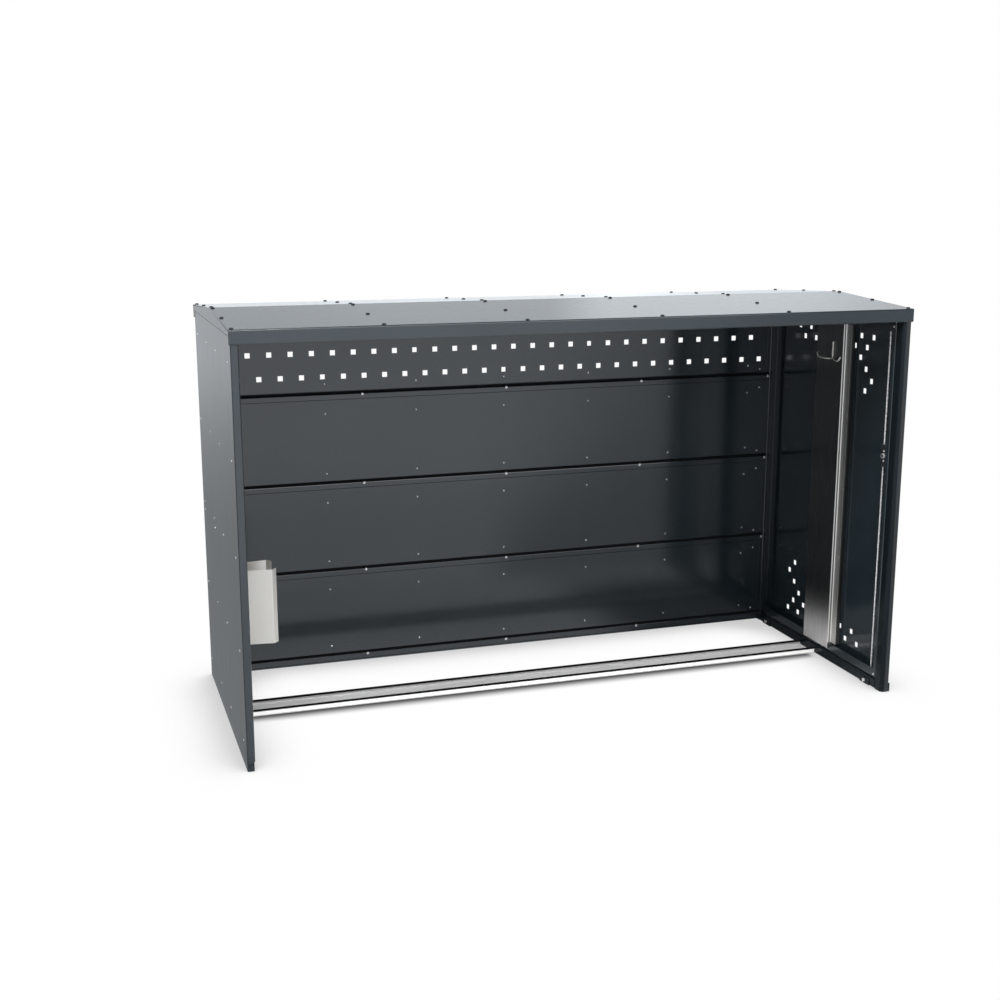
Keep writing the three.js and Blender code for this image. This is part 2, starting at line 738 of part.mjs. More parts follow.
function buildDoorStiffener(group) {
  const coverX = doorLipFace - seat - sheet;
  const flangeX = coverX + coverWall;
  const section = [
    [flangeX + sheet, coverFront - coverFlange],
    [flangeX + sheet, coverFront + sheet],
    [coverX + sheet, coverFront + sheet],
    [coverX + sheet, coverRear - sheet],
    [flangeX + sheet, coverRear - sheet],
  ];
  const between = [doorBottom + doorLip + seat, doorTop - doorLip - seat];
  const ends = [doorBottom + coverEndGap, doorTop - coverEndGap];
  const profile = extrude("z", folded(section), ...between);
  const plateSpan = [coverFront + bend + sheet, coverRear - bend - sheet];
  const cover = profile.add(block([coverX, coverX + sheet], plateSpan, ends));
  place(group, "stiffener_cover", cover, "stainless");

  const railX = [flangeX + sheet + seat, doorSkinInner - seat];
  const rail = [
    [railX[1], coverFront - seat],
    [railX[0], coverFront - seat],
    [railX[0], coverFront - coverFlange],
    [railX[1], coverFront - coverFlange],
  ];
  place(group, "stiffener_rail", extrude("z", folded(rail), ...between), "stainless");
  place(group, "coat_hook", hookSolid(coverX), "stainless");
}

function pinionOutline() {
  const tooth = gearModule * Math.PI / 2 - toothSlack;
  const levels = [
    [pitchRadius - rootDepth, tooth / 2 + rootDepth * toothSlope],
    [pitchRadius + gearModule, tooth / 2 - gearModule * toothSlope],
  ];
  return Array.from({ length: gearTeeth }, (_, i) => {
    const middle = (2 * Math.PI * i) / gearTeeth;
    const [root, tip] = levels.map(([radius, half]) => [radius, half / radius]);
    return [[root[0], -root[1]], [tip[0], -tip[1]], [tip[0], tip[1]], [root[0], root[1]]]
      .map(([radius, turn]) => [
        spindleLine + radius * Math.cos(middle + turn),
        lockHeight + radius * Math.sin(middle + turn),
      ]);
  }).flat();
}

// A rack's outline in (y, z): the teeth point towards the spindle from the side given by sign.
function rackOutline(sign, fromZ, toZ) {
  const pitch = gearModule * Math.PI;
  const tooth = pitch / 2 - toothSlack;
  const pitchLine = spindleLine + sign * pitchRadius;
  const root = pitchLine + sign * rootDepth;
  const tip = pitchLine - sign * gearModule;
  const back = root + sign * rackBody;
  const points = [[back, fromZ], [root, fromZ]];
  const first = Math.ceil((fromZ - lockHeight) / pitch - 1 / 2 + 1 / 2);
  const last = Math.floor((toZ - lockHeight) / pitch - 1 / 2 - 1 / 2);
  for (let k = first; k <= last; k += 1) {
    const z = lockHeight + (k + 1 / 2) * pitch;
    const wide = tooth / 2 + rootDepth * toothSlope;
    const narrow = tooth / 2 - gearModule * toothSlope;
    points.push([root, z - wide], [tip, z - narrow], [tip, z + narrow], [root, z + wide]);
  }
  return [...points, [root, toZ], [back, toZ]];
}

function buildRodLock(door, handle, upperRod, lowerRod) {
  const gearX = [rodX - gearWidth / 2, rodX + gearWidth / 2];
  const travel = (pitchRadius * Math.PI) / 2;
  const axis = [spindleLine, lockHeight];

  const caseX = [doorSkinInner - seat - caseDepth, doorSkinInner - seat];
  const rackReach = pitchRadius + rootDepth + rackBody + seat + sheet + rodPlay;
  const caseY = [spindleLine - rackReach, spindleLine + rackReach];
  const caseZ = [lockHeight - caseHalfHeight, lockHeight + caseHalfHeight];
  const lockCase = block(caseX, caseY, caseZ)
    .subtract(block(
      [caseX[0] + sheet, caseX[1] + overrun],
      [caseY[0] + sheet, caseY[1] - sheet],
      [caseZ[0] + sheet, caseZ[1] - sheet],
    ))
    .subtract(rod("z", rodRadius + rodPlay / 2, [rodX, rodLine], caseZ[0] - overrun, caseZ[1] + overrun))
    .subtract(rod("x", spindleRadius + seat, axis, caseX[0] - overrun, caseX[1]));
  place(door, "lock_case", lockCase, "black");

  const pinion = extrude("x", pinionOutline(), ...gearX)
    .subtract(rod("x", spindleRadius + seat, axis, gearX[0] - overrun, gearX[1] + overrun));
  place(handle, "lock_pinion", pinion, "zinc");

  const nutX = [caseX[0] - seat - nutHeight, caseX[0] - seat];
  const nut = rod("x", nutRadius, axis, ...nutX, 6)
    .subtract(rod("x", spindleRadius + seat, axis, nutX[0] - overrun, nutX[1] + overrun));
  place(handle, "spindle_nut", nut, "chrome");

  const lowerRack = rackOutline(1, lockHeight - rackHold, lockHeight + rackHold + travel);
  const lower = extrude("x", lowerRack, ...gearX)
    .add(rod("z", rodRadius, [rodX, rodLine], doorBottom + tipInset, lockHeight - rackHold + tipInset));
  place(lowerRod, "lower_rod", lower, "chrome");

  const jogFoot = lockHeight + rackHold + travel + jogGap;
  const jogHead = jogFoot + jogHeight;
  const upperRack = rackOutline(-1, lockHeight - rackHold - travel, jogHead);
  const jogY = [spindleLine - pitchRadius - rootDepth - rackBody, rodLine + rackBody / 2];
  const upper = extrude("x", upperRack, ...gearX)
    .add(block(gearX, jogY, [jogFoot, jogHead]))
    .add(rod("z", rodRadius, [rodX, rodLine], jogHead - rodRadius, doorTop - tipInset));
  place(upperRod, "upper_rod", upper, "chrome");

  const guideX = [doorLipFace + sheet + seat, doorSkinInner - seat];
  const guideInset = (doorLip - guideHeight) / 2;
  const guides = {
    upper: doorTop - guideInset - guideHeight,
    lower: doorBottom + guideInset,
  };
  for (const [side, z] of Object.entries(guides)) {
    const guide = block(guideX, [rodLine - guideWidth / 2, rodLine + guideWidth / 2], [z, z + guideHeight])
      .subtract(rod("z", rodRadius + seat, [rodX, rodLine], z - overrun, z + guideHeight + overrun));
    place(door, `rod_guide_${side}`, guide, "black");
  }
  return nutX[0];
}

function buildHandle(door, handle, keyPlug, spindleEnd) {
  const plateX = [doorOuter + seat, doorOuter + seat + handlePlateThickness];
  const plateZ = [lockHeight - handlePlateBelow, lockHeight + handlePlateAbove];
  const plateMiddle = (spindleLine + keyLine) / 2;
  const plateY = [plateMiddle - handlePlateWidth / 2, plateMiddle + handlePlateWidth / 2];
  const outline = roundedRectangle(plateY, plateZ, evenly(bend + sheet));
  const through = [plateX[0] - overrun, plateX[1] + overrun];
  const escutcheon = extrude("x", outline, ...plateX)
    .subtract(rod("x", spindleRadius + rodPlay, [spindleLine, lockHeight], ...through))
    .subtract(rod("x", cylinderRadius + seat, [keyLine, keyHeight], ...through));
  place(door, "handle_plate", escutcheon, "black");

  const hubX = [plateX[1] + seat, plateX[1] + leverStandoff];
  const leverX = [hubX[1] - leverThickness, hubX[1]];
  const leverY = [spindleLine, spindleLine + leverLength];
  const leverZ = [lockHeight - leverWidth / 2, lockHeight + leverWidth / 2];
  const lever = extrude("x", roundedRectangle(leverY, leverZ, evenly(leverThickness)), ...leverX)
    .add(rod("x", hubRadius, [spindleLine, lockHeight], ...hubX))
    .add(rod("x", spindleRadius, [spindleLine, lockHeight], spindleEnd, hubX[1] - sheet));
  place(handle, "handle_lever", lever, "black");

  const bodyX = [plateX[1] + cylinderRimHeight - cylinderLength, plateX[1] + cylinderRimHeight];
  const centre = [keyLine, keyHeight];
  const plugX = [bodyX[0] + seat, bodyX[1] + seat];
  const body = rod("x", cylinderRadius, centre, ...bodyX)
    .add(rod("x", cylinderRim, centre, plateX[1] + seat, bodyX[1]))
    .subtract(rod("x", plugRadius + seat, centre, bodyX[0] - overrun, bodyX[1] + overrun));
  place(door, "cylinder_body", body, "chrome");

  const slot = block(
    [plugX[1] - keySlotDepth, plugX[1] + overrun],
    [keyLine - keySlotWidth / 2, keyLine + keySlotWidth / 2],
    [keyHeight - keySlotHeight / 2, keyHeight + keySlotHeight / 2],
  );
  place(keyPlug, "cylinder_plug", rod("x", plugRadius, centre, ...plugX).subtract(slot), "chrome");

  const coverX = [doorSkinInner - seat - coverBoxDepth, doorSkinInner - seat];
  const coverY = [keyLine - coverBoxWidth / 2, keyLine + coverBoxWidth / 2];
  const coverZ = [keyHeight - coverBoxHeight / 2, keyHeight + coverBoxHeight / 2];
  const hollow = block(
    [coverX[0] + plate, coverX[1] + overrun],
    [coverY[0] + sheet / 2, coverY[1] - sheet / 2],
    [coverZ[0] + plate, coverZ[1] - plate],
  );
  place(door, "cylinder_cover", block(coverX, coverY, coverZ).subtract(hollow), "black");
}

// Two leaves and a pin: the frame's leaf holds the outer knuckles, the door's the middle one.
function buildHinges(frameGroup, door) {
  const axisX = halfLength + hingeStandoff;
  const axisY = postInner - doorGap / 2;
  const centres = { upper: doorTop - hingeInset, lower: doorBottom + hingeInset };
  const third = hingeHeight / 3;
  for (const [side, middle] of Object.entries(centres)) {
    const bottom = middle - hingeHeight / 2;
    const boreZ = [bottom - overrun, bottom + hingeHeight + overrun];
    const bore = rod("z", hingePinRadius + seat, [axisX, axisY], ...boreZ);
    const knuckle = (index, outerFace, sign) => {
      const z = [bottom + index * third + seat, bottom + (index + 1) * third - seat];
      const bridge = [axisY, axisY + sign * (hingeRadius + seat)].sort((a, b) => a - b);
      return rod("z", hingeRadius, [axisX, axisY], ...z)
        .add(block([outerFace + seat, axisX - hingePinRadius], bridge, z));
    };
    const leafY = axisY + hingeRadius;
    const frameLeaf = block(
      [halfLength + seat, halfLength + seat + hingeThickness],
      [leafY, leafY + hingeLeaf],
      [bottom, bottom + hingeHeight],
    ).add(knuckle(0, halfLength, 1)).add(knuckle(2, halfLength, 1)).subtract(bore);
    place(frameGroup, `hinge_frame_leaf_${side}`, frameLeaf, "zinc");

    const doorLeaf = block(
      [doorOuter + seat, doorOuter + seat + hingeThickness],
      [axisY - hingeRadius - hingeLeaf, axisY - hingeRadius],
      [bottom, bottom + hingeHeight],
    ).add(knuckle(1, doorOuter, -1)).subtract(bore);
    place(door, `hinge_door_leaf_${side}`, doorLeaf, "zinc");

    const pin = rod("z", hingePinRadius, [axisX, axisY], bottom - pinHead, bottom + hingeHeight + pinHead);
    place(frameGroup, `hinge_pin_${side}`, pin, "zinc");
  }
}

const door = new THREE.Group();
const handle = new THREE.Group();
const upperRod = new THREE.Group();
const lowerRod = new THREE.Group();
const keyPlug = new THREE.Group();
door.add(handle, upperRod, lowerRod, keyPlug);
locker.add(door);

buildLeftWall(locker);
buildDoorFrame(locker);
buildRoof(locker);
buildBackWall(locker);
buildFloor(locker);
place(door, "door_panel", doorTray(), "paint");
buildDoorStiffener(door);
const spindleEnd = buildRodLock(door, handle, upperRod, lowerRod);
buildHandle(door, handle, keyPlug, spindleEnd);
buildHinges(locker, door);

export default locker;
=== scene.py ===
"""A one-bicycle locker of folded sheet steel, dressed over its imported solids.

Sizes of the pieces are millimetres, as on a workshop drawing. Finishes, studio and meshes
are in metres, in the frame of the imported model: X runs from the closed end to the door, Y
from the open side to the back wall, Z up.
"""

import logging
import math
from collections.abc import Iterable, Sequence
from dataclasses import dataclass, field
from enum import Enum

import bmesh
import bpy
from mathutils import Matrix, Vector


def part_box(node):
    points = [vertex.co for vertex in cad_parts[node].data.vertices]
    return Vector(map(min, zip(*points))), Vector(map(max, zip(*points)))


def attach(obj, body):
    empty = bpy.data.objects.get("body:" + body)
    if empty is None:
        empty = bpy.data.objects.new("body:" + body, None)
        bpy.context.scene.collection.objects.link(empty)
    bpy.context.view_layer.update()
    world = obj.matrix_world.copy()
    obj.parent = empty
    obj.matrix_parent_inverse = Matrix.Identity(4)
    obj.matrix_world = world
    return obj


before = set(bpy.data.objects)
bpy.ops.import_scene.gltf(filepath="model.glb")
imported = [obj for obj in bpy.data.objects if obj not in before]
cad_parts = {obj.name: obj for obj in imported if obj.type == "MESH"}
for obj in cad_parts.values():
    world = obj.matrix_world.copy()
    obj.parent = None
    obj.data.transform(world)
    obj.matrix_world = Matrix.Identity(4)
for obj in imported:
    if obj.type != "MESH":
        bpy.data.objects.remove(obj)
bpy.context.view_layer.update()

LOG = logging.getLogger("locker")
MM = 0.001
Point = tuple[float, float, float]
Colour = tuple[float, float, float]
Box = tuple[Point, Point]
Pair = tuple[float, float]
Span = tuple[float, float, float, float]
Window = tuple[Pair, Pair]
Material = bpy.types.Material
Node = bpy.types.Node
Sockets = dict[str | int, object]
WHITE = (1.0, 1.0, 1.0, 1.0)
BEVEL_SAMPLES = 4
BRUSH_DEPTH = 0.00002
BRUSH_SHARE = 0.6
FOLD_RADIUS = 0.0006


def metres(point: Sequence[float]) -> Vector:
    """Returns a point given in millimetres as a vector in metres."""
    return Vector(point) * MM


def shade(*levels: float) -> Colour:
    """Turns a paint chart's colour into the linear values that the shader takes.

    Args:
        *levels: Red, green and blue, 0 to 255.

    Returns:
        The three linear values.
    """
    return tuple(_linear(level / 255) for level in levels)


def _linear(level: float) -> float:
    """Returns one display level, 0 to 1, as a linear value."""
    return level / 12.92 if level <= 0.04045 else ((level + 0.055) / 1.055) ** 2.4


class Term:
    """A socket of a node sheet that takes part in Python arithmetic."""

    def __init__(self, sheet: "NodeSheet", socket: bpy.types.NodeSocket) -> None:
        """Keeps the socket and the sheet that its Math nodes go to."""
        self.sheet = sheet
        self.socket = socket

    def __add__(self, other: "Term | float") -> "Term":
        """Returns the sum."""
        return self.sheet.math("ADD", self, other)

    __radd__ = __add__

    def __sub__(self, other: "Term | float") -> "Term":
        """Returns the difference."""
        return self.sheet.math("SUBTRACT", self, other)

    def __rsub__(self, other: "Term | float") -> "Term":
        """Returns the difference with this term taken away."""
        return self.sheet.math("SUBTRACT", other, self)

    def __mul__(self, other: "Term | float") -> "Term":
        """Returns the product."""
        return self.sheet.math("MULTIPLY", self, other)

    __rmul__ = __mul__

    def __pow__(self, other: "Term | float") -> "Term":
        """Returns the power."""
        return self.sheet.math("POWER", self, other)

    def between(self, low: float, high: float, start: float = 0.0, end: float = 1.0) -> "Term":
        """Maps a range of this term smoothly onto another and holds it there.

        Args:
            low: The value that gives start.
            high: The value that gives end.
            start: Result at and below low.
            end: Result at and above high.

        Returns:
            The mapped term.
        """
        limits = {"From Min": low, "From Max": high, "To Min": start, "To Max": end}
        sockets = {"Value": self, **limits}
        return self.sheet.term("MapRange", sockets, interpolation_type="SMOOTHSTEP")

    def within(self, rising: Pair, falling: Pair) -> "Term":
        """Returns 1 from one soft edge to another, else 0."""
        return self.between(*rising) * (1 - self.between(*falling))

    def spread(self, start: float, end: float) -> "Term":
        """Maps a noise's usual range, 0.3 to 0.7, onto another."""
        return self.between(0.3, 0.7, start, end)


Value = Term | float


@dataclass(frozen=True)
class Grain:
    """A noise: its grains in a metre, their share along each axis, and its finer layers."""

    scale: float
    stretch: Point = (1, 1, 1)
    detail: float = 3.0


BRUSH_LINES = Grain(520.0, (1, 1, 0.012))
BRUSH_BANDS = Grain(60.0, (1, 1, 0.012), 2.0)


class NodeSheet:
    """The nodes of one material, world or modifier, written as expressions."""

    def __init__(self, tree: bpy.types.NodeTree) -> None:
        """Takes over a tree and empties it."""
        self.tree = tree
        tree.nodes.clear()

    def node(self, kind: str, sockets: Sockets | None = None, **settings: object) -> Node:
        """Adds a node.

        Args:
            kind: The node's type; a short name is that of a shader node.
            sockets: A value or a Term for each named or numbered input.
            **settings: Properties, set before the sockets.

        Returns:
            The new node.
        """
        made = self.tree.nodes.new(kind if "Node" in kind else f"ShaderNode{kind}")
        for key, value in settings.items():
            setattr(made, key, value)
        for key, value in (sockets or {}).items():
            if isinstance(value, Term):
                self.tree.links.new(value.socket, made.inputs[key])
            else:
                made.inputs[key].default_value = value
        return made

    def term(
        self, kind: str, sockets: Sockets | None = None, output: str | int = 0, **settings: object
    ) -> Term:
        """Adds a node and returns one of its outputs.

        Args:
            kind: The node's type, as node takes it.
            sockets: A value or a Term for each named or numbered input.
            output: The output's name or number.
            **settings: Properties, set before the sockets.

        Returns:
            The output as a term.
        """
        return Term(self, self.node(kind, sockets, **settings).outputs[output])

    def math(self, operation: str, *values: Value) -> Term:
        """Returns the result of a Math node on the values."""
        return self.term("Math", dict(enumerate(values)), operation=operation)

    def place(self) -> Term:
        """Returns the point on the object, in metres."""
        return self.term("TexCoord", output="Object")

    def along(self, axis: str) -> Term:
        """Returns the point's place on an axis of the object, in metres."""
        return self.term("SeparateXYZ", {0: self.place()}, axis)

    def split(self, vector: Term) -> tuple[Term, Term, Term]:
        """Returns a vector's three parts."""
        parts = self.node("SeparateXYZ", {0: vector}).outputs
        return tuple(Term(self, part) for part in parts)

    def noise(self, grain: Grain) -> Term:
        """Returns a noise over the object, about 0.3 to 0.7."""
        spread = self.term("Mapping", {"Vector": self.place(), "Scale": grain.stretch})
        sockets = {"Vector": spread, "Scale": grain.scale, "Detail": grain.detail}
        return self.term("TexNoise", sockets, "Fac")

    def cells(self, scale: float) -> Term:
        """Returns one random value, 0 to 1, for each crystal of a zinc coat."""
        sockets = {"Vector": self.place(), "Scale": scale, "Randomness": 1.0}
        return self.term("SeparateColor", {0: self.term("TexVoronoi", sockets, "Color")}, "Red")

    def blend(self, factor: Value, first: Term | Colour, second: Term | Colour) -> Term:
        """Mixes two colours.

        Args:
            factor: Share of the second.
            first: The colour at 0.
            second: The colour at 1.

        Returns:
            The mixed colour.
        """
        sockets = {0: factor, 6: _opaque(first), 7: _opaque(second)}
        return self.term("Mix", sockets, 2, data_type="RGBA")

    def edges(self, radius: float) -> Term:
        """Returns how near the point is to a sharp edge, from 0 to about 0.3."""
        pair = {0: self.rounded(radius), 1: self.term("NewGeometry", output="True Normal")}
        return 1 - self.term("VectorMath", pair, "Value", operation="DOT_PRODUCT")

    def rounded(self, radius: float) -> Term:
        """Returns the normal with edges softened over a radius in metres."""
        return self.term("Bevel", {"Radius": radius}, samples=BEVEL_SAMPLES)

    def relief(self, height: Term, distance: float, radius: float, strength: float = 1.0) -> Term:
        """Makes the normal of a surface with small relief and softened edges.

        Args:
            height: The relief, 0 to 1.
            distance: Its depth in metres.
            radius: Radius of the softened edges in metres.
            strength: Share of the relief.

        Returns:
            The normal.
        """
        sockets = {"Strength": strength, "Distance": distance, "Height": height}
        return self.term("Bump", {**sockets, "Normal": self.rounded(radius)})

    def brushing(self) -> tuple[Term, Term]:
        """Returns the fine lines and the wide bands of a sheet that was brushed upright."""
        return self.noise(BRUSH_LINES), self.noise(BRUSH_BANDS)

    def brushed(self, lines: Term) -> Term:
        """Returns the normal of a sheet brushed with those lines."""
        return self.relief(lines, BRUSH_DEPTH, FOLD_RADIUS, BRUSH_SHARE)

    def ray(self, kind: str) -> Term:
        """Returns 1 for rays of a kind that the Light Path node names, else 0."""
        return self.term("LightPath", output=kind)

    def seen(self) -> Term:
        """Returns 1 for rays that show the white room itself, else 0."""
        rays = self.ray("Is Camera Ray") + self.ray("Is Transmission Ray")
        return self.math("MINIMUM", rays, 1.0)

    def shine(self, kind: str, colour: object, strength: float) -> Term:
        """Returns a shader that gives off light, of the kind Emission or Background."""
        return self.term(kind, {"Color": colour, "Strength": strength})

    def mix(self, factor: Term, first: Term, second: Term) -> Term:
        """Returns two shaders mixed by the second one's share."""
        return self.term("MixShader", {0: factor, 1: first, 2: second})

    def surface(self, **sockets: object) -> None:
        """Ends the sheet with a principled surface; the names are its sockets', spaces as _."""
        named = {key.replace("_", " "): value for key, value in sockets.items()}
        self.node("OutputMaterial", {"Surface": self.term("BsdfPrincipled", named)})


def _opaque(colour: Term | Colour) -> Term | Span:
    """Returns a colour with its fourth value, or a term as it is."""
    return colour if isinstance(colour, Term) else (*colour, 1.0)


def new_sheet(name: str) -> tuple[Material, NodeSheet]:
    """Returns a new material of that name and its empty sheet."""
    made = bpy.data.materials.new(name)
    made.use_nodes = True
    return made, NodeSheet(made.node_tree)


class Recipe:
    """A finish that can be mixed as a material."""

    name: str

    def material(self) -> Material:
        """Returns the finish, mixed as a material."""
        made, sheet = new_sheet(self.name)
        sheet.surface(**self.mix(sheet))
        return made

    def mix(self, sheet: NodeSheet) -> Sockets:
        """Makes the finish's nodes.

        Args:
            sheet: Where they go.

        Returns:
            A value for each socket of the principled surface.
        """
        raise NotImplementedError


@dataclass(frozen=True)
class PowderCoat(Recipe):
    """Anthracite powder coat, baked on: a satin skin with a fine orange peel."""

    name: str = "powder_coat"
    colour: Colour = shade(23, 31, 36)
    faded: Colour = shade(26, 34, 39)
    dust: Colour = shade(110, 107, 101)
    bare: Colour = shade(90, 94, 96)
    gloss: Pair = (0.13, 0.155)
    clouds: Grain = Grain(3.1)
    specks: Grain = Grain(260.0, detail=4.0)
    streaks: Grain = Grain(7.0, (6, 6, 0.35))
    peel: Grain = Grain(700.0, detail=1.0)
    peel_depth: float = 0.000004
    dust_height: float = 0.16
    dust_share: float = 0.06
    wear_radius: float = 0.0009
    wear_share: float = 0.35
    edge_radius: float = 0.0008

    def mix(self, sheet: NodeSheet) -> Sockets:
        """Returns the coat's sockets."""
        clouds, specks = sheet.noise(self.clouds), sheet.noise(self.specks)
        streaks, peel = sheet.noise(self.streaks), sheet.noise(self.peel)
        paint = sheet.blend(clouds.between(0.35, 0.65), self.colour, self.faded)
        low = 1 - sheet.along("Z").between(0.0, self.dust_height)
        settled = low * specks.between(0.42, 0.7) * self.dust_share
        dusty = sheet.blend(settled, paint, self.dust)
        edges = sheet.edges(self.wear_radius).between(0.08, 0.28)
        worn = edges * specks.between(0.55, 0.62) * self.wear_share
        sheen = streaks.between(0.35, 0.65, *self.gloss) + settled * 0.9 + specks * 0.015
        return dict(
            Base_Color=sheet.blend(worn, dusty, self.bare),
            Roughness=sheen,
            Normal=sheet.relief(peel, self.peel_depth, self.edge_radius),
            **self.skin(sheet),
        )

    def skin(self, sheet: NodeSheet) -> Sockets:
        """Returns the sockets that make the skin's mirror image.

        Args:
            sheet: Where a varying value's nodes go.

        Returns:
            A value for each socket.
        """
        return {"IOR": 1.6}


@dataclass(frozen=True)
class ShadedPostCoat(PowderCoat):
    """The coat on the near post and the sill, darker all over as painted shade, matt inside and
    round the edge.
    """

    name: str = "post_coat_painted_shade"
    # Painted shade: darker than the coat's own colours, so the post and the sill look as if in
    # shadow.
    colour: Colour = shade(14, 20, 24)
    faded: Colour = shade(16, 22, 26)
    glossy_from: Pair = (1.031, 1.036)

    def skin(self, sheet: NodeSheet) -> Sockets:
        """Returns a skin that mirrors on the post's front only."""
        weight = sheet.along("X").between(*self.glossy_from)
        return {"IOR": 1.2, "Coat_Weight": weight, "Coat_IOR": 1.6, "Coat_Roughness": 0.14}


@dataclass(frozen=True)
class SpangledZinc(Recipe):
    """Hot-dip galvanised sheet with its crystals."""

    name: str = "spangled_zinc"
    light: Colour = (0.42, 0.43, 0.44)
    dark: Colour = (0.27, 0.28, 0.29)
    crystals: float = 130.0
    fume: Grain = Grain(14.0, detail=4.0)
    relief_depth: float = 0.00008

    def mix(self, sheet: NodeSheet) -> Sockets:
        """Returns the sockets of the zinc coat."""
        crystal = sheet.cells(self.crystals)
        fume = sheet.noise(self.fume)
        base = sheet.blend(crystal * 0.7 + fume * 0.4 - 0.05, self.dark, self.light)
        return dict(
            Base_Color=base,
            Metallic=1.0,
            Roughness=crystal * 0.14 + fume.spread(0.3, 0.44),
            Normal=sheet.relief(fume + crystal * 0.2, self.relief_depth, FOLD_RADIUS),
        )


@dataclass(frozen=True)
class BrushedSteel(Recipe):
    """Stainless sheet, brushed one way."""

    name: str = "brushed_stainless"
    light: Colour = (0.66, 0.64, 0.605)
    dark: Colour = (0.6, 0.58, 0.545)
    gloss: Pair = (0.3, 0.42)
    metal: float = 0.65
    smears: Grain = Grain(9.0, detail=5.0)

    def mix(self, sheet: NodeSheet) -> Sockets:
        """Returns the sockets of the brushed sheet."""
        lines, bands = sheet.brushing()
        smears = sheet.noise(self.smears)
        base = sheet.blend(lines * 0.6 + bands * 0.5 - 0.05, self.dark, self.light)
        scuffs = smears.between(0.56, 0.72) * 0.08
        return dict(
            Base_Color=base,
            Metallic=self.metal,
            Roughness=lines.spread(*self.gloss) + scuffs,
            Normal=sheet.brushed(lines),
        )


@dataclass(frozen=True)
class CoverWithPaintedLight(Recipe):
    """Stainless stiffener in painted light: a dark painted reflection of the interior on its front
    and inside, a painted reflection of the floor towards the foot, painted highlights and painted
    shade along its bends.
    """

    name: str = "cover_painted_light"
    # Painted reflection: the dark of the interior, painted into the front's colour.
    flat: Colour = (0.19, 0.188, 0.185)
    # Painted reflection of the pale floor, painted on towards the foot.
    foot: Colour = (0.62, 0.605, 0.6)
    dull_foot: Pair = (0.07, 0.3)
    turned: Pair = (1.0209, 1.0212)
    fold_width: float = 0.0003
    streak: Colour = (0.1, 0.1, 0.1)
    # Painted highlights on the bends, and painted shade in the gap beside them and on the rail's
    # sides behind.
    folds: tuple[tuple[float, Colour], ...] = (
        (1.0209, (0.75, 0.73, 0.7)),
        (1.0234, (0.2, 0.196, 0.19)),
        (1.029, (0.9, 0.88, 0.85)),
        (1.0314, (0.54, 0.53, 0.51)),
        (1.0332, (0.05, 0.05, 0.05)),
    )

    def mix(self, sheet: NodeSheet) -> Sockets:
        """Returns the sockets of the cover's sheet."""
        lines, bands = sheet.brushing()
        low = 1 - sheet.along("Z").between(*self.dull_foot)
        # Share of the painted floor reflection, highest at the foot.
        floor_reflection_share = low * low
        depth = sheet.along("X")
        base = sheet.blend(floor_reflection_share, self.flat, self.foot)
        for start, colour in self.folds:
            base = sheet.blend(depth.between(start, start + self.fold_width), base, colour)
        return dict(
            Base_Color=sheet.blend(lines * 0.05 + bands * 0.06, base, self.streak),
            Metallic=1 - floor_reflection_share * 0.5,
            Roughness=lines.spread(0.27, 0.33) + depth.between(*self.turned) * 0.12,
            Normal=sheet.brushed(lines),
        )


@dataclass(frozen=True)
class PaintedLightChannel(Recipe):
    """Stainless channel in painted light: a near-white outside painted as lit, a grey inside
    painted as shade, with rubbed smears and scratches.
    """

    name: str = "channel_painted_light"
    # Painted light: near white for the lit outside.
    outside: Colour = (0.95, 0.945, 0.935)
    # Painted shade: the grey of the inside.
    inside: Colour = (0.56, 0.56, 0.56)
    rubbed: Colour = (0.49, 0.49, 0.487)
    # Painted shade on the far flange's inner face.
    far_flange: Colour = (0.4, 0.4, 0.4)
    scratch: Colour = (0.3, 0.3, 0.3)
    lines: Grain = Grain(420.0, (0.012, 1, 1))
    smears: Grain = Grain(11.0, (0.4, 1, 1), 5.0)
    wall: Pair = (-0.0103, -0.0092)
    far_wall: Pair = (0.083, 0.0845)

    def mix(self, sheet: NodeSheet) -> Sockets:
        """Returns the sockets of the channel's sheet."""
        lines, smears = sheet.noise(self.lines), sheet.noise(self.smears)
        place = sheet.along("Y")
        # Mask of the inside, where the painted shade goes.
        within = place.between(*self.wall)
        worn = sheet.blend(smears.between(0.4, 0.66), self.inside, self.rubbed)
        base = sheet.blend(within, self.outside, worn)
        base = sheet.blend(place.between(*self.far_wall), base, self.far_flange)
        return dict(
            Base_Color=sheet.blend(lines.between(0.5, 0.75) * 0.14, base, self.scratch),
            Metallic=0.2,
            Roughness=lines.spread(0.34, 0.46) + within * 0.12,
            Normal=sheet.brushed(lines),
        )


@dataclass(frozen=True)
class PaintedShadeStrip(Recipe):
    """Near-black, cell-textured strips that stand for shade: painted shade lines in joints and
    gaps.
    """

    name: str = "painted_shade_strip"
    colour: Colour = (0.0035, 0.0036, 0.0038)
    skin: Colour = (0.008, 0.008, 0.0085)
    cells: Grain = Grain(900.0)

    def mix(self, sheet: NodeSheet) -> Sockets:
        """Returns the sockets of the rubber."""
        cells = sheet.noise(self.cells)
        return dict(
            Base_Color=sheet.blend(cells.between(0.4, 0.65), self.colour, self.skin),
            Roughness=cells.spread(0.75, 0.95),
            IOR=1.14,
            Normal=sheet.relief(cells, 0.0001, 0.0003),
        )


@dataclass(frozen=True)
class BrightPlate(Recipe):
    """Bright zinc or nickel plate on small turned and cold-headed pieces."""

    name: str = "bright_plate"
    light: Colour = (0.76, 0.76, 0.77)
    dark: Colour = (0.6, 0.6, 0.61)
    fog: Grain = Grain(240.0)
    turning: Grain = Grain(900.0, (1, 1, 0.05), 2.0)

    def mix(self, sheet: NodeSheet) -> Sockets:
        """Returns the sockets of the plate."""
        fog, turning = sheet.noise(self.fog), sheet.noise(self.turning)
        return dict(
            Base_Color=sheet.blend(fog.spread(0.0, 1.0), self.dark, self.light),
            Metallic=0.7,
            Roughness=fog.spread(0.18, 0.32),
            Normal=sheet.relief(turning, 0.00001, 0.0005, 0.5),
        )


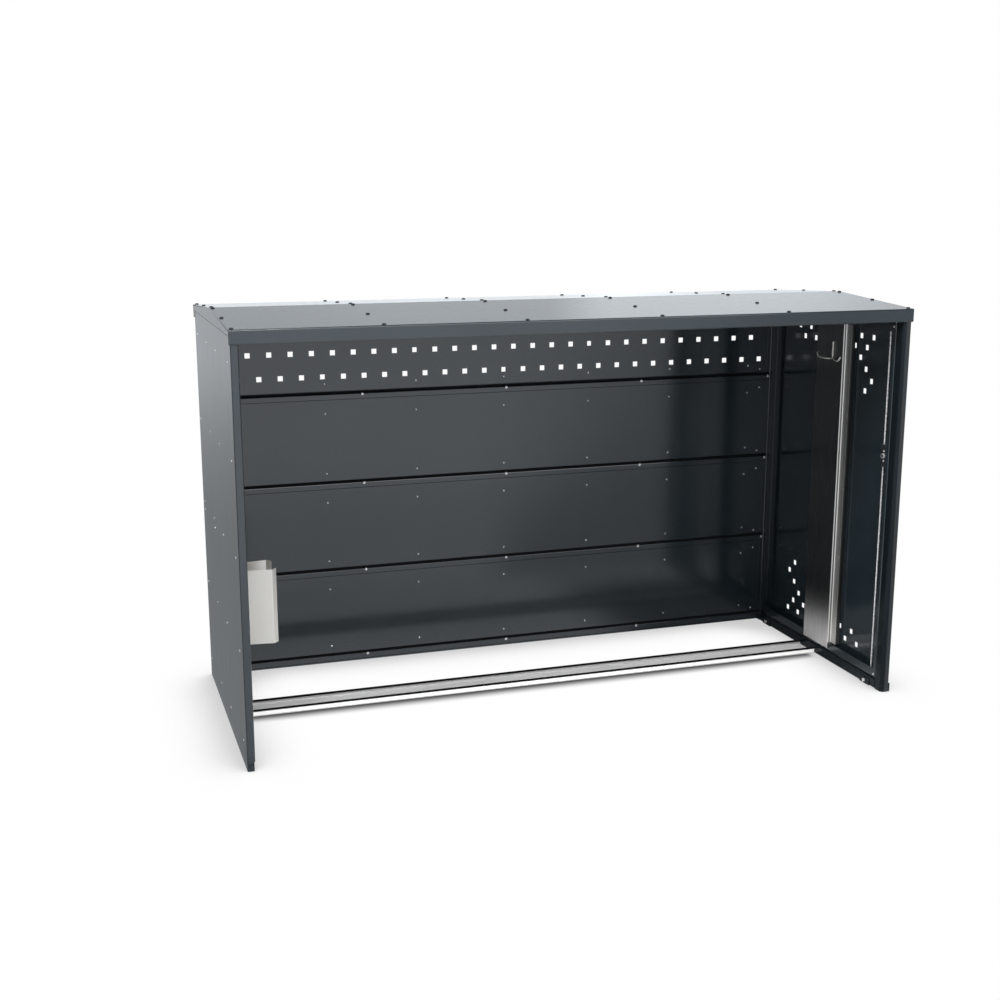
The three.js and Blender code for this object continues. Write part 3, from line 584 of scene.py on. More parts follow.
@dataclass(frozen=True)
class BlackPlastic(Recipe):
    """Fine-grained black plastic and black coated hardware."""

    name: str = "black_plastic"
    colour: Colour = (0.011, 0.012, 0.013)
    rubbed: Colour = (0.028, 0.029, 0.031)
    pores: Grain = Grain(1500.0, detail=2.0)
    touch: Grain = Grain(35.0)

    def mix(self, sheet: NodeSheet) -> Sockets:
        """Returns the sockets of the plastic."""
        pores, touch = sheet.noise(self.pores), sheet.noise(self.touch)
        rub = sheet.edges(0.0008).between(0.05, 0.25) * 0.6 + touch.between(0.5, 0.75) * 0.3
        return dict(
            Base_Color=sheet.blend(rub, self.colour, self.rubbed),
            Roughness=touch.spread(0.34, 0.5) + pores * 0.08,
            Normal=sheet.relief(pores, 0.00005, 0.0007, 0.7),
        )


@dataclass(frozen=True)
class DarkScrew(Recipe):
    """Roof screws, blackened against rust."""

    name: str = "dark_screw"
    colour: Colour = (0.02, 0.021, 0.022)
    chipped: Colour = (0.1, 0.095, 0.09)
    marks: Grain = Grain(700.0)

    def mix(self, sheet: NodeSheet) -> Sockets:
        """Returns the sockets of the blackened steel."""
        marks = sheet.noise(self.marks)
        return dict(
            Base_Color=sheet.blend(marks.between(0.58, 0.66), self.colour, self.chipped),
            Metallic=0.6,
            Roughness=marks.spread(0.36, 0.55),
            Normal=sheet.relief(marks, 0.00004, 0.0004),
        )


class Finish(Enum):
    """The finishes, each made from its recipe and paired with the record's slot."""

    PAINT = (PowderCoat(), "paint")
    POST = (ShadedPostCoat(), "paint")
    ZINC = (SpangledZinc(), "zinc")
    STAINLESS = (BrushedSteel(), "stainless")
    COVER = (CoverWithPaintedLight(), "stainless")
    RAIL = (PaintedLightChannel(), "rail")
    BLACK = (BlackPlastic(), "black_plastic")
    PLATE = (BrightPlate(), "bright_plate")
    SCREW = (DarkScrew(), "black_plastic")
    SHADE_STRIP = (PaintedShadeStrip(), "black_plastic")


@dataclass(frozen=True)
class Head:
    """One kind of fastener head, in millimetres."""

    radius: float
    rim: float
    crown: float
    crown_share: float = 0.62
    recess_share: float = 0.3
    recess: float = 0.0
    sides: int = 14


class Heads(Enum):
    """The heads used on the locker."""

    ROOF_SCREW = Head(6.2, 1.4, 2.0, 0.55, 0.42, 1.4)
    RIVET = Head(3.7, 0.4, 1.1, 0.5)
    SMALL_RIVET = Head(2.9, 0.3, 0.9, 0.5, sides=12)
    JOINT_BOLT = Head(5.2, 1.2, 2.0, 0.62, 0.45, 1.6)
    NUT = Head(6.2, 3.4, 0.6, 0.9, 0.5, 1.2, 6)
    PAN = Head(3.6, 0.8, 1.0, 0.6, 0.4, 0.8, 12)


@dataclass(frozen=True)
class Fastening:
    """A set of equal heads that look the same way."""

    name: str
    head: Heads
    facing: Point
    seats: tuple[Point, ...]
    body: str = "shell"
    finish: Finish = Finish.PLATE


class FastenerTree:
    """A node tree that sets a head on each point of a mesh."""

    LENGTHS = ("radius", "rim", "crown", "recess")
    INPUTS = {
        "geometry": "Geometry",
        **dict.fromkeys((*LENGTHS, "crown_share", "recess_share"), "Float"),
        "sides": "Int",
        "facing": "Vector",
        "finish": "Material",
    }
    SHOULDER = 0.62
    RECESS_TAPER = 0.92
    WELD = 1e-6

    def __init__(self) -> None:
        """Builds the tree with its named inputs."""
        self.tree = bpy.data.node_groups.new("fastener_heads", "GeometryNodeTree")
        panel = self.tree.interface
        panel.new_socket("Geometry", in_out="OUTPUT", socket_type="NodeSocketGeometry")
        for name, kind in self.INPUTS.items():
            panel.new_socket(name, in_out="INPUT", socket_type=f"NodeSocket{kind}")
        sheet = NodeSheet(self.tree)
        inputs = sheet.node("NodeGroupInput").outputs
        self._draw(sheet, {name: Term(sheet, inputs[name]) for name in self.INPUTS})

    def _head(self, sheet: NodeSheet, given: dict[str, Term]) -> Term:
        """Draws one head, ring upon ring.

        Args:
            sheet: Where the nodes go.
            given: The tree's inputs by name.

        Returns:
            The head, closed below.
        """
        sockets = {"Vertices": given["sides"], "Radius": given["radius"]}
        disc = sheet.term("GeometryNodeMeshCircle", sockets, fill_type="NGON")
        under = sheet.term("GeometryNodeFlipFaces", {"Mesh": disc})
        shoulder = sheet.math("SQRT", given["crown_share"])
        head, top = disc, True
        for rise, share in (
            (given["rim"], 1.0),
            (given["crown"] * self.SHOULDER, shoulder),
            (given["crown"] * (1 - self.SHOULDER), shoulder),
            (0.0, given["recess_share"]),
            (0 - given["recess"], self.RECESS_TAPER),
        ):
            sockets = {"Mesh": head, "Selection": top, "Offset Scale": rise, "Individual": False}
            drawn = sheet.node("GeometryNodeExtrudeMesh", sockets, mode="FACES")
            body, top = (Term(sheet, drawn.outputs[name]) for name in ("Mesh", "Top"))
            sockets = {"Geometry": body, "Selection": top, "Scale": share}
            head = sheet.term("GeometryNodeScaleElements", sockets, domain="FACE")
        join = sheet.node("GeometryNodeJoinGeometry")
        for part in (head, under):
            self.tree.links.new(part.socket, join.inputs[0])
        sockets = {"Geometry": Term(sheet, join.outputs[0]), "Distance": self.WELD}
        return sheet.term("GeometryNodeMergeByDistance", sockets)

    def _draw(self, sheet: NodeSheet, given: dict[str, Term]) -> None:
        """Sets a head on each point, turned at random, and ends the tree.

        Args:
            sheet: Where the nodes go.
            given: The tree's inputs by name.
        """
        facing = {"Vector": given["facing"]}
        sockets = {
            "Points": given["geometry"],
            "Instance": self._head(sheet, given),
            "Rotation": sheet.term("FunctionNodeAlignRotationToVector", facing, axis="Z"),
        }
        placed = sheet.term("GeometryNodeInstanceOnPoints", sockets)
        turn = sheet.term("FunctionNodeRandomValue", {3: math.tau, "Seed": 7}, 1)
        spin = sheet.term("CombineXYZ", {"Z": turn})
        sockets = {"Instances": placed, "Rotation": spin, "Local Space": True}
        spun = sheet.term("GeometryNodeRotateInstances", sockets)
        real = sheet.term("GeometryNodeRealizeInstances", {0: spun})
        sockets = {"Geometry": real, "Material": given["finish"]}
        sheet.node("NodeGroupOutput", {0: sheet.term("GeometryNodeSetMaterial", sockets)})

    def set_heads(self, fastening: Fastening, finish: Material) -> None:
        """Makes one piece of a set of heads.

        Args:
            fastening: The set.
            finish: Its material.
        """
        points = bpy.data.meshes.new("seats")
        points.from_pydata([metres(seat) for seat in fastening.seats], [], [])
        carrier = bpy.data.objects.new("seats", points)
        bpy.context.scene.collection.objects.link(carrier)
        modifier = carrier.modifiers.new("heads", "NODES")
        modifier.node_group = self.tree
        values = {"facing": fastening.facing, "finish": finish, **vars(fastening.head.value)}
        values.update({name: values[name] * MM for name in self.LENGTHS})
        for item in self.tree.interface.items_tree:
            if item.in_out == "INPUT" and item.name in values:
                modifier[item.identifier] = values[item.name]
        graph = bpy.context.evaluated_depsgraph_get()
        mesh = bpy.data.meshes.new_from_object(carrier.evaluated_get(graph))
        bpy.data.objects.remove(carrier)
        settle(fastening.name, mesh, fastening.body)


def settle(name: str, mesh: bpy.types.Mesh, body: str) -> None:
    """Adds a finished mesh to the scene as a piece.

    Args:
        name: The piece's name.
        mesh: Its mesh, in place.
        body: The body that it moves with.
    """
    mesh.name = name
    piece = bpy.data.objects.new(name, mesh)
    bpy.context.scene.collection.objects.link(piece)
    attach(piece, body)
    LOG.info("%s: %d faces on %s", name, len(mesh.polygons), body)


@dataclass
class Workshop:
    """What every sub-assembly is built with."""

    heads: FastenerTree = field(default_factory=FastenerTree)
    mixed: dict[Finish, Material] = field(default_factory=dict)

    def take(self, finish: Finish) -> Material:
        """Returns the material of a finish, mixed at its first use."""
        if finish not in self.mixed:
            self.mixed[finish] = finish.value[0].material()
        return self.mixed[finish]

    def dress(self, finishes: dict[Finish, str]) -> None:
        """Gives the solids of a sub-assembly their finishes.

        Args:
            finishes: Names of the solids, with spaces between them, for each finish.
        """
        for finish, names in finishes.items():
            for name in names.split():
                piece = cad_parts[name]
                piece.data.materials.clear()
                piece.data.materials.append(self.take(finish))
                LOG.info("%s: %s", name, finish.name.lower())

    def lay(self, name: str, finish: Finish, boxes: Iterable[Box], edge: float) -> None:
        """Makes a piece of several bars that stays with the shell.

        Args:
            name: The piece's name.
            finish: Its finish.
            boxes: The bars' corners in millimetres.
            edge: Width of their rounded edges in millimetres.
        """
        mesh = bars(boxes, edge)
        mesh.materials.append(self.take(finish))
        settle(name, mesh, "shell")

    def fasten(self, *sets: Fastening) -> None:
        """Makes the pieces of several sets of heads."""
        for one in sets:
            self.heads.set_heads(one, self.take(one.finish))


def bars(boxes: Iterable[Box], edge: float) -> bpy.types.Mesh:
    """Makes one mesh of several bars with rounded edges.

    Args:
        boxes: The lowest and highest corner of each bar, in millimetres.
        edge: Width of the rounded edges in millimetres.

    Returns:
        The mesh, in place.
    """
    form = bmesh.new()
    for low, high in boxes:
        size, middle = metres(high) - metres(low), (metres(high) + metres(low)) / 2
        turn = Matrix.Translation(middle) @ Matrix.Diagonal((*size, 1.0))
        corners = bmesh.ops.create_cube(form, size=1.0, matrix=turn)["verts"]
        edges = list({line for corner in corners for line in corner.link_edges})
        bmesh.ops.bevel(
            form, geom=edges, offset=edge * MM, segments=2, profile=0.5, affect="EDGES"
        )
    made = bpy.data.meshes.new("bars")
    form.to_mesh(made)
    form.free()
    return made


def grid(
    first: Iterable[float], second: Iterable[float], axis: int, level: float
) -> tuple[Point, ...]:
    """Lays out points on a plane.

    Args:
        first: Places along the plane's first axis.
        second: Places along its second axis.
        axis: The axis that the plane is square to, 0 to 2.
        level: Where the plane lies on that axis.

    Returns:
        A point for each pair.
    """
    rest = list(second)
    places = [(a, b) for a in first for b in rest]
    return tuple((*place[:axis], level, *place[axis:]) for place in places)


class Assembly:
    """A sub-assembly: its solids by finish, and the small pieces that it adds."""

    FINISHES: dict[Finish, str]

    def build(self, shop: Workshop) -> None:
        """Makes the small pieces."""
        raise NotImplementedError


@dataclass
class LeftWall(Assembly):
    """The closed end: a folded tray over four channels and two rails."""

    FINISHES = {
        Finish.PAINT: "left_wall_skin",
        Finish.ZINC: "left_top_rail left_base_rail left_channel_front left_channel_middle_front"
        " left_channel_middle_rear left_channel_rear",
    }
    face: float = -1050.0
    rivet_columns: tuple[float, ...] = (-370.0, -96.0, 131.0, 384.0)
    rivet_heights: tuple[float, ...] = (72.0, 342.0, 614.0, 889.0, 1162.0)
    extra_rivets: tuple[Pair, ...] = ((384.0, 587.0), (116.0, 587.0))

    def build(self, shop: Workshop) -> None:
        """Sets the rivets that hold the channels."""
        seats = grid(self.rivet_columns, self.rivet_heights, 0, self.face)
        extra = tuple((self.face, y, z) for y, z in self.extra_rivets)
        shop.fasten(Fastening("wall_rivets", Heads.RIVET, (-1, 0, 0), seats + extra))


@dataclass
class Roof(Assembly):
    """Two folded sheets over beams, rafters and a ridge strip."""

    FINISHES = {
        Finish.PAINT: "roof_sheet_front roof_sheet_rear",
        Finish.ZINC: "eave_beam_front eave_beam_rear ridge_strip"
        " rafter_1 rafter_2 rafter_3 rafter_4",
    }
    columns: tuple[float, ...] = (-1043.0, -626.0, -209.0, 209.0, 626.0, 1043.0)
    rows: tuple[float, ...] = (17.7, 218.0, 419.5)
    half_depth: float = 436.5
    eaves: float = 1254.0
    rise: float = 24.5
    # Painted shade: a near-black bar for the shade line under the gable's flange.
    seam: Box = ((-1052.6, -432.0, 1236.0), (-1050.0, 432.0, 1238.6))
    caps: tuple[Box, ...] = (
        ((-1053.4, 433.2, 1214.0), (-1050.1, 434.8, 1238.8)),
        ((1050.1, 433.2, 1214.0), (1053.4, 434.8, 1238.8)),
    )
    edge: float = 0.3

    def height(self, y: float) -> float:
        """Returns the height of the sheet's upper side at a distance from the ridge."""
        return self.eaves + self.rise * (1 - abs(y) / self.half_depth)

    def build(self, shop: Workshop) -> None:
        """Sets the roof screws, lays a painted shade line under the gable's flange and caps the
        rear fascia's ends.
        """
        slope = self.rise / self.half_depth
        for side, sign in (("front", -1), ("rear", 1)):
            seats = tuple((x, sign * y, self.height(y)) for x in self.columns for y in self.rows)
            facing = (0.0, sign * slope, 1.0)
            name = f"roof_screws_{side}"
            shop.fasten(Fastening(name, Heads.ROOF_SCREW, facing, seats, finish=Finish.SCREW))
        shop.lay("gable_shade_line", Finish.SHADE_STRIP, [self.seam], self.edge)
        shop.lay("fascia_caps", Finish.STAINLESS, self.caps, self.edge)


@dataclass
class BackWall(Assembly):
    """Four lapped panels with ribs, a joggled foot and three uprights."""

    FINISHES = {
        Finish.PAINT: "back_panel_1 back_panel_2 back_panel_3 back_panel_4 back_sill"
        " back_upright_left back_upright_middle back_upright_right"
    }
    face: float = 414.0
    ribs_back: float = 422.0
    back: float = 433.0
    feet: tuple[float, ...] = (33.8, 340.1, 646.4, 952.7)
    joint_drop: float = 26.7
    rib_middle: float = -6.0
    rib_pitch: float = 315.3
    ribs: int = 7
    foot_rise: float = 28.0
    head_drop: float = 46.0
    end_column: float = 990.0
    uprights: tuple[float, ...] = (-508.9, 3.0, 514.9)
    bolt_drop: float = 10.8
    flange_faces: Pair = (-1025.2, 1019.2)
    flange_line: float = 405.5
    joint_lift: float = 12.0
    run: Pair = (-1026.2, 1020.2)
    # Painted shade: near-black strips in the joints' grooves, and thin near-black lines at the
    # bottom of each recessed strip, where there is only shade.
    seals: tuple[Pair, ...] = ((-6.5, 0.5), (-6.5, 0.5), (-6.0, -1.0), (-5.6, -1.8))
    seal_depth: Pair = (414.4, 421.6)
    seal_edge: float = 0.6
    bead: float = 0.75
    bead_depth: Pair = (413.75, 414.5)
    bead_edge: float = 0.15

    def build(self, shop: Workshop) -> None:
        """Lays the painted shade in the joints and sets the joint bolts, the rib rivets and their
        ends behind the wall.
        """
        half = (self.ribs - 1) / 2
        ribs = [self.rib_middle + (i - half) * self.rib_pitch for i in range(self.ribs)]
        low = [foot + self.foot_rise for foot in self.feet]
        edges = [foot - self.joint_drop for foot in self.feet[1:]]
        high = [edge - self.head_drop for edge in edges]
        rivets = grid(ribs, [*low, *high], 1, self.face)
        ends = [foot + self.foot_rise / 2 for foot in self.feet]
        ends += [edge - self.foot_rise for edge in edges]
        rivets += grid([self.end_column], ends, 1, self.face)
        tails = grid(ribs, [*low, *high], 1, self.ribs_back)
        bolts = [foot - self.bolt_drop for foot in self.feet]
        joints = grid(self.uprights, bolts, 1, self.face)
        nuts = grid(self.uprights, bolts, 1, self.back)
        flange = [foot - self.joint_lift for foot in self.feet[1:]]
        (start, end), (front, rear) = self.run, self.seal_depth
        seals = [
            ((start, front, foot + low_edge), (end, rear, foot + high_edge))
            for foot, (low_edge, high_edge) in zip(self.feet, self.seals)
        ]
        shop.lay("joint_shade_strips", Finish.SHADE_STRIP, seals, self.seal_edge)
        front, rear = self.bead_depth
        shade_lines = [
            ((start, front, edge - self.bead), (end, rear, edge + self.bead))
            for edge in [*edges, self.feet[0] - self.joint_drop]
        ]
        shop.lay("joint_shade_lines", Finish.SHADE_STRIP, shade_lines, self.bead_edge)
        inward, outward = (0, -1, 0), (0, 1, 0)
        shop.fasten(
            Fastening("panel_rivets", Heads.SMALL_RIVET, inward, rivets),
            Fastening("rib_rivet_ends", Heads.SMALL_RIVET, outward, tails),
            Fastening("joint_bolts", Heads.JOINT_BOLT, inward, joints),
            Fastening("joint_bolt_ends", Heads.RIVET, outward, nuts),
        )
        for side, face, sign in zip(("left", "right"), self.flange_faces, (1, -1)):
            seats = tuple((face, self.flange_line, z) for z in flange)
            shop.fasten(Fastening(f"flange_bolts_{side}", Heads.JOINT_BOLT, (sign, 0, 0), seats))


@dataclass
class DoorFrame(Assembly):
    """Posts, sill, header and kick strip of the door's end."""

    FINISHES = {
        Finish.PAINT: "door_post_rear door_header kick_strip",
        Finish.POST: "door_post_front door_sill sill_tie_front sill_tie_rear",
        Finish.ZINC: "keeper_upper keeper_lower",
        Finish.PLATE: "sill_tie_bolt_front sill_tie_bolt_rear",
    }
    screw_inset: float = 19.0

    def build(self, shop: Workshop) -> None:
        """Sets the screws of the kick strip."""
        low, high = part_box("kick_strip")
        face = high.x / MM
        middle = (low.z + high.z) / 2 / MM
        reach = high.y / MM - self.screw_inset
        seats = tuple((face, y, middle) for y in (-reach, -reach / 3, reach / 3, reach))
        shop.fasten(Fastening("kick_screws", Heads.PAN, (1, 0, 0), seats))


@dataclass
class WheelTrack(Assembly):
    """The floor channel and the holder for the front wheel."""

    FINISHES = {Finish.RAIL: "wheel_rail", Finish.STAINLESS: "wheel_holder holder_backplate"}
    holder_bolts: tuple[Pair, ...] = ((14.5, 268.0), (64.5, 268.0), (14.5, 445.0), (64.5, 445.0))
    holder_sheet: float = 2.0
    plate_inset: float = 11.0
    # Painted shade: near-black trims on the channel's flange tops, for the dark lines of shade
    # there.
    trims: tuple[Box, ...] = (
        ((-1031.0, -11.8, 14.8), (1020.2, -7.0, 21.4)),
        ((-1031.0, 84.6, 11.5), (1020.2, 90.4, 17.8)),
    )
    trim_edge: float = 1.0

    def build(self, shop: Workshop) -> None:
        """Lays the painted shade trims on the channel, and bolts the holder to its plate and the
        plate to the channels.
        """
        shop.lay("channel_shade_trims", Finish.SHADE_STRIP, self.trims, self.trim_edge)
        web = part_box("wheel_holder")[0].x / MM + self.holder_sheet
        seats = tuple((web, y, z) for y, z in self.holder_bolts)
        low, high = (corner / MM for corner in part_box("holder_backplate"))
        ys = (low.y + self.plate_inset, high.y - self.plate_inset)
        zs = (low.z + self.plate_inset, high.z - self.plate_inset)
        corners = grid(ys, zs, 0, high.x)
        shop.fasten(
            Fastening("holder_bolts", Heads.NUT, (1, 0, 0), seats),
            Fastening("backplate_screws", Heads.PAN, (1, 0, 0), corners),
        )


@dataclass
class Door(Assembly):
    """The perforated door leaf with its stiffener and coat hook."""

    FINISHES = {
        Finish.PAINT: "door_panel",
        Finish.COVER: "stiffener_cover stiffener_rail",
        Finish.STAINLESS: "coat_hook",
    }
    lip_face: float = 1022.5
    lip_screws: tuple[Pair, ...] = ((-382.0, 46.0), (-382.0, 1195.0))
    strip_face: float = 1031.7
    strip_line: float = -119.0
    strip_heights: tuple[float, ...] = (125.8, 375.2, 624.6, 874.0, 1123.4)
    cover_screws: tuple[Pair, ...] = ((-87.0, 49.0), (-87.0, 1194.0), (58.0, 49.0), (58.0, 1194.0))

    def build(self, shop: Workshop) -> None:
        """Sets the screws and rivets of the leaf."""
        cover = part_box("stiffener_cover")[0].x / MM
        inward = (-1, 0, 0)
        lips = tuple((self.lip_face, y, z) for y, z in self.lip_screws)
        strip = tuple((self.strip_face, self.strip_line, z) for z in self.strip_heights)
        ends = tuple((cover, y, z) for y, z in self.cover_screws)
        shop.fasten(
            Fastening("lip_screws", Heads.PAN, inward, lips, "door"),
            Fastening("stiffener_rivets", Heads.SMALL_RIVET, inward, strip, "door"),
            Fastening("cover_screws", Heads.SMALL_RIVET, inward, ends, "door"),
        )


@dataclass
class RodLock(Assembly):
    """The rod lock, its handle and the key cylinder."""

    FINISHES = {
        Finish.BLACK: "lock_case rod_guide_upper rod_guide_lower cylinder_cover handle_plate"
        " handle_lever",
        Finish.PLATE: "upper_rod lower_rod spindle_nut cylinder_body cylinder_plug",
        Finish.ZINC: "lock_pinion",
    }
    spindle: Pair = (-360.9, 777.7)
    screw_reach: float = 16.0
    plate_screws: tuple[Pair, ...] = ((-364.5, 797.0), (-364.5, 668.0))

    def build(self, shop: Workshop) -> None:
        """Sets the screws of the lock's case and of the handle's plate."""
        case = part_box("lock_case")[0].x / MM
        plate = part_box("handle_plate")[1].x / MM
        y, z = self.spindle
        seats = ((case, y, z - self.screw_reach), (case, y, z + self.screw_reach))
        outer = tuple((plate, a, b) for a, b in self.plate_screws)
        shop.fasten(
            Fastening("case_screws", Heads.PAN, (-1, 0, 0), seats, "door"),
            Fastening("handle_screws", Heads.PAN, (1, 0, 0), outer, "door", Finish.SCREW),
        )


@dataclass
class Hinges(Assembly):
    """Two barrel hinges between the rear post and the leaf."""

    FINISHES = {
        Finish.PLATE: "hinge_frame_leaf_upper hinge_door_leaf_upper hinge_pin_upper"
        " hinge_frame_leaf_lower hinge_door_leaf_lower hinge_pin_lower"
    }
    leaf_face: float = 1052.3
    screw_heights: tuple[float, ...] = (-30.0, 0.0, 30.0)
    leaf_inset: float = 10.0

    def build(self, shop: Workshop) -> None:
        """Sets three screws in each leaf."""
        for side in ("upper", "lower"):
            for leaf, body, edge in (("frame", "shell", 1), ("door", "door", 0)):
                low, high = (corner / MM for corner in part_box(f"hinge_{leaf}_leaf_{side}"))
                y = high.y - self.leaf_inset if edge else low.y + self.leaf_inset
                middle = (low.z + high.z) / 2
                seats = tuple((self.leaf_face, y, middle + rise) for rise in self.screw_heights)
                name = f"hinge_{leaf}_screws_{side}"
                shop.fasten(Fastening(name, Heads.PAN, (1, 0, 0), seats, body))


@dataclass
class Lamp:
    """A soft rectangular lamp."""

    name: str
    place: Point
    aim: Point
    size: Pair
    power: float

    def hang(self) -> None:
        """Hangs the lamp and turns it to its aim."""
        data = bpy.data.lights.new(self.name, "AREA")
        data.shape = "RECTANGLE"
        data.size, data.size_y = self.size
        data.energy = self.power
        lamp = bpy.data.objects.new(self.name, data)
        lamp.location = self.place
        lamp.rotation_mode = "QUATERNION"
        away = Vector(self.aim) - Vector(self.place)
        lamp.rotation_quaternion = away.to_track_quat("-Z", "Y")
        bpy.context.scene.collection.objects.link(lamp)


@dataclass
class Studio:
    """Pale floor, soft light and the camera at the photograph's place.

    Bearings are degrees from +Y towards +X, other ranges metres or parts of 1.
    """

    eye: Point = (-1.51669, -4.18020, 1.62420)
    right: Point = (0.950806, -0.309787, -0.000174)
    down: Point = (-0.067752, -0.207398, -0.975908)
    forward: Point = (0.302287, 0.927911, -0.218184)
    lens_pixels: float = 1397.62
    picture: float = 1000.0
    sensor: float = 36.0
    centre_row: float = 499.0
    clip_end: float = 200.0
    lamps: tuple[Lamp, ...] = (
        Lamp("front_lamp", (1.2, -5.5, 3.4), (0.0, 0.0, 0.6), (4.5, 3.0), 110.0),
        Lamp("left_lamp", (-5.0, -1.0, 3.0), (-1.0, 0.0, 0.6), (3.0, 3.0), 60.0),
        Lamp("high_lamp", (-1.2, -2.7, 5.6), (-0.2, -0.2, 0.8), (3.0, 2.0), 540.0),
    )
    floor_reach: float = 24.0
    floor_grey: Span = (0.7, 0.7, 0.7, 1.0)
    sky_light: float = 0.62
    front_tone: float = 1.4
    tones: tuple[tuple[float, float, float], ...] = (
        (-172.0, -150.0, -1.1),
        (-150.0, -90.0, 0.38),
        (-8.0, 8.0, 0.05),
        (8.0, 14.0, 0.06),
        (20.0, 23.0, 0.4),
        (29.0, 38.0, -0.41),
        (60.0, 130.0, -0.05),
        (146.0, 162.0, 0.67),
    )
    horizon: Pair = (0.0, 0.07)
    horizon_sides: Window = ((-8.0, 0.0), (21.0, 28.0))
    horizon_glow: float = 0.6
    # Painted shade in the floor's mirror image: beside the left wall, under the roof and nearer
    # the object.
    near_floor: Pair = (2.0, 10.4)
    near_shade: float = 0.56
    left_side: Pair = (-1.06, -1.02)
    left_front: Pair = (-0.52, -0.42)
    open_side: Pair = (-0.5, -0.44)
    open_step: float = 0.24
    narrowing: Pair = (0.15, 1.0)
    foreground: Span = (-3.6, -1.3, 1.0, 0.76)
    roofed: Window = ((0.2, 0.7), (1.02, 1.06))
    roofed_depth: Window = ((-0.34, -0.08), (0.42, 0.5))
    roofed_shade: float = 0.8
    bay_tone: float = 0.97
    bay: Window = ((-1.04, -1.0), (0.28, 0.56))
    bay_depth: Window = ((-0.5, -0.44), (0.42, 0.5))
    behind: Pair = (-0.8, -0.4)
    behind_rise: Pair = (0.1, 0.2)
    behind_dim: float = 0.55
    ceiling: Span = (0.35, 0.6, 1.0, 0.25)
    tint: Colour = (0.955, 1.0, 1.045)
    # Painted contact shadow on the floor, from ambient occlusion.
    contact: float = 0.25
    contact_samples: int = 12
    contact_fall: float = 2.2
    contact_shade: float = 0.42
    # Painted shadow strip on the floor in front of the channel.
    channel: Window = ((-1.05, -1.0), (0.98, 1.03))
    channel_depth: Window = ((-0.085, -0.012), (-0.012, -0.008))
    channel_dark: float = 0.92

    def build(self) -> None:
        """Sets up the camera, the lamps, the sky and the floor."""
        self._camera()
        for lamp in self.lamps:
            lamp.hang()
        self._sky()
        self._floor()
        bpy.context.scene.view_settings.view_transform = "Standard"

    def _camera(self) -> None:
        """Places the camera that was worked out from the photograph."""
        data = bpy.data.cameras.new("camera")
        data.sensor_width = self.sensor
        data.lens = self.lens_pixels * self.sensor / self.picture
        data.shift_y = (self.centre_row - self.picture / 2) / self.picture
        data.clip_end = self.clip_end
        camera = bpy.data.objects.new("camera", data)
        axes = (Vector(self.right), -Vector(self.down), -Vector(self.forward))
        turn = Matrix(axes).transposed().to_quaternion()
        camera.matrix_world = Matrix.Translation(self.eye) @ turn.to_matrix().to_4x4()
        bpy.context.scene.collection.objects.link(camera)
        bpy.context.scene.camera = camera

    def _sky(self) -> None:
        """Makes a white surround that lights the object softly."""
        world = bpy.data.worlds.new("surround")
        world.use_nodes = True
        bpy.context.scene.world = world
        sheet = NodeSheet(world.node_tree)
        across, along, rise = sheet.split(sheet.term("TexCoord", output="Generated"))
        turn = self.turn(across, along)
        glow = turn.within(*self.horizon_sides)
        glow = glow * (1 - rise.between(*self.horizon)) * self.horizon_glow
        tone = (self.surround(turn) + glow) * rise.between(*self.ceiling)
        behind = (1 - along.between(*self.behind)) * rise.between(*self.behind_rise)
        tint = self.tinted(tone * (1 - behind * self.behind_dim))
        image = sheet.shine("Background", tint, 1.0)
        lit = sheet.shine("Background", WHITE, self.sky_light)
        both = sheet.mix(sheet.ray("Is Glossy Ray"), lit, image)
        done = sheet.mix(sheet.seen(), both, sheet.shine("Background", WHITE, 1.0))
        sheet.node("OutputWorld", {"Surface": done})

    def tinted(self, tone: Term) -> Term:
        """Returns a brightness as the cool white of the room."""
        sockets = {place: tone * share for place, share in enumerate(self.tint)}
        return tone.sheet.term("CombineColor", sockets)

    def turn(self, across: Term, along: Term) -> Term:
        """Returns a bearing in degrees, from +Y towards +X."""
        return across.sheet.math("ARCTAN2", across, along) * (180 / math.pi)

    def surround(self, turn: Term) -> Term:
        """Says how bright the room looks in the coat's mirror images.

        Args:
            turn: The bearing out of the middle of the room, in degrees.

        Returns:
            The brightness, 1 for white.
        """
        tone: Value = self.front_tone
        for low, high, step in self.tones:
            tone = turn.between(low, high, 0.0, step) + tone
        return tone

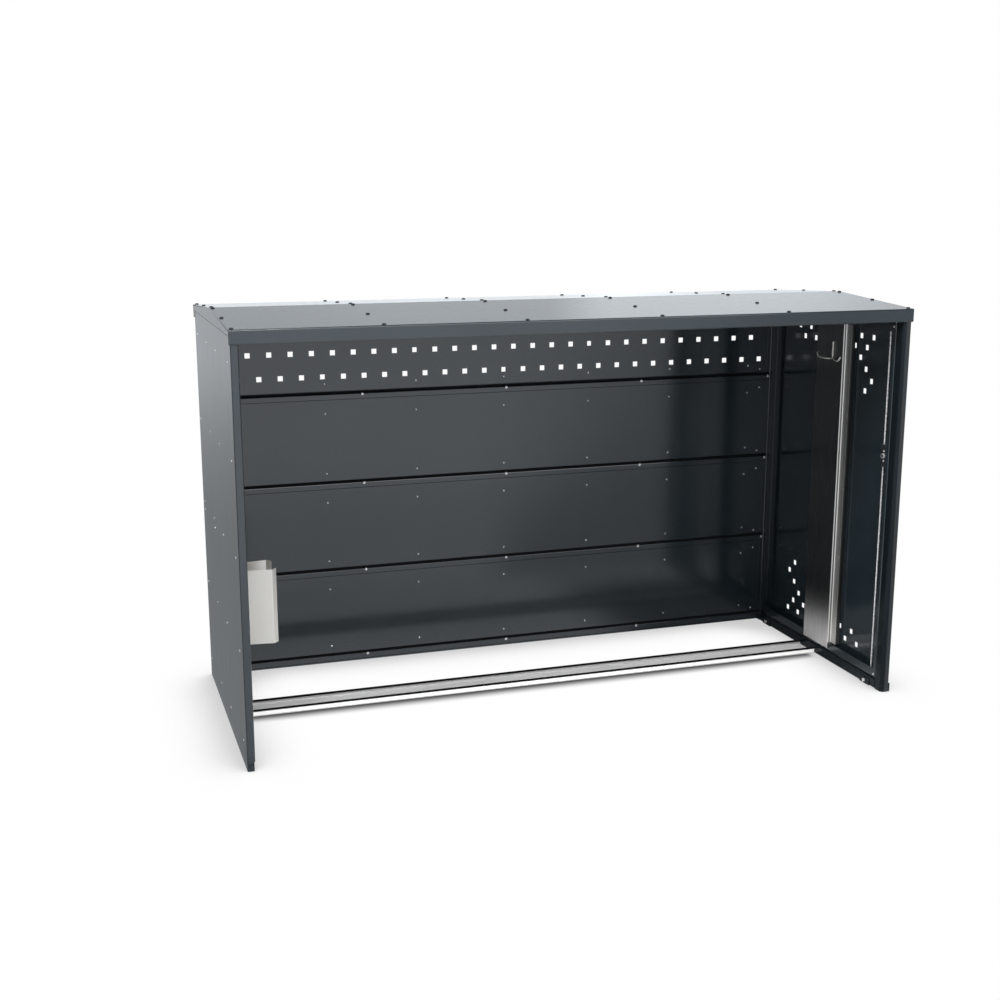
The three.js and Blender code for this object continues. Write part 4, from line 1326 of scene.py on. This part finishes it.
    def _floor(self) -> None:
        """Lays a pale floor that the camera sees white, with a painted shadow close to the object.
        """
        reach = self.floor_reach
        mesh = bpy.data.meshes.new("floor")
        corners = [(-reach, -reach, 0), (reach, -reach, 0), (reach, reach, 0), (-reach, reach, 0)]
        mesh.from_pydata(corners, [], [(0, 1, 2, 3)])
        floor = bpy.data.objects.new("floor", mesh)
        made, sheet = new_sheet("pale_floor")
        where = sheet.term("NewGeometry", output="Position")
        image = sheet.shine("Emission", self._mirrored(where), 1.0)
        matt = sheet.term("BsdfDiffuse", {"Color": self.floor_grey})
        pale = sheet.mix(sheet.seen(), matt, self._shown(where))
        done = sheet.mix(sheet.ray("Is Glossy Ray"), pale, image)
        sheet.node("OutputMaterial", {"Surface": done})
        mesh.materials.append(made)
        bpy.context.scene.collection.objects.link(floor)

    def _mirrored(self, where: Term) -> Term:
        """Paints how the floor looks in the coat's mirror images, with painted shade beside the
        left wall, under the roof and nearer the object.

        Args:
            where: The place on the floor.

        Returns:
            The colour.
        """
        sheet = where.sheet
        across, along, _ = sheet.split(where)
        far = sheet.term("VectorMath", {0: where}, "Value", operation="LENGTH")
        beside = (1 - across.between(*self.left_side)) * along.between(*self.left_front)
        near = 1 - (1 - far.between(*self.near_floor)) * beside * self.near_shade
        under = across.within(*self.roofed) * along.within(*self.roofed_depth)
        near = near * (1 - under * self.roofed_shade)
        step = along.between(*self.open_side) * self.open_step
        near = near * (along.between(*self.foreground) + step)
        narrow = along.between(*self.open_side, *self.narrowing)
        leftward = sheet.math("MAXIMUM", across, across * narrow)
        tone = self.surround(self.turn(leftward, along)) * near
        bay = across.within(*self.bay) * along.within(*self.bay_depth)
        return self.tinted(tone + (self.bay_tone - tone) * bay)

    def _shown(self, where: Term) -> Term:
        """Makes the floor as the camera sees it: white, with painted shadow close to the object
        and a painted shadow strip in front of the channel.

        Args:
            where: The place on the floor.

        Returns:
            The shader.
        """
        sheet = where.sheet
        across, along, _ = sheet.split(where)
        reach, samples = {"Distance": self.contact}, self.contact_samples
        shut = 1 - sheet.term("AmbientOcclusion", reach, "AO", samples=samples)
        shut = sheet.math("MINIMUM", shut * 2, 1.0) ** self.contact_fall * self.contact_shade
        painted_channel_shadow = across.within(*self.channel) * along.within(*self.channel_depth)
        close = sheet.math("MAXIMUM", shut, painted_channel_shadow * self.channel_dark)
        white, black = (sheet.shine("Emission", WHITE, light) for light in (1.0, 0.0))
        return sheet.mix(close, white, black)


def main() -> None:
    """Builds and dresses the sub-assemblies in order, then the studio."""
    logging.basicConfig(level=logging.INFO, format="%(name)s: %(message)s")
    shop = Workshop()
    for kind in (LeftWall, Roof, BackWall, DoorFrame, WheelTrack, Door, RodLock, Hinges):
        LOG.info("building %s", kind.__name__)
        part = kind()
        shop.dress(part.FINISHES)
        part.build(shop)
    Studio().build()


if __name__ == "__main__":
    main()
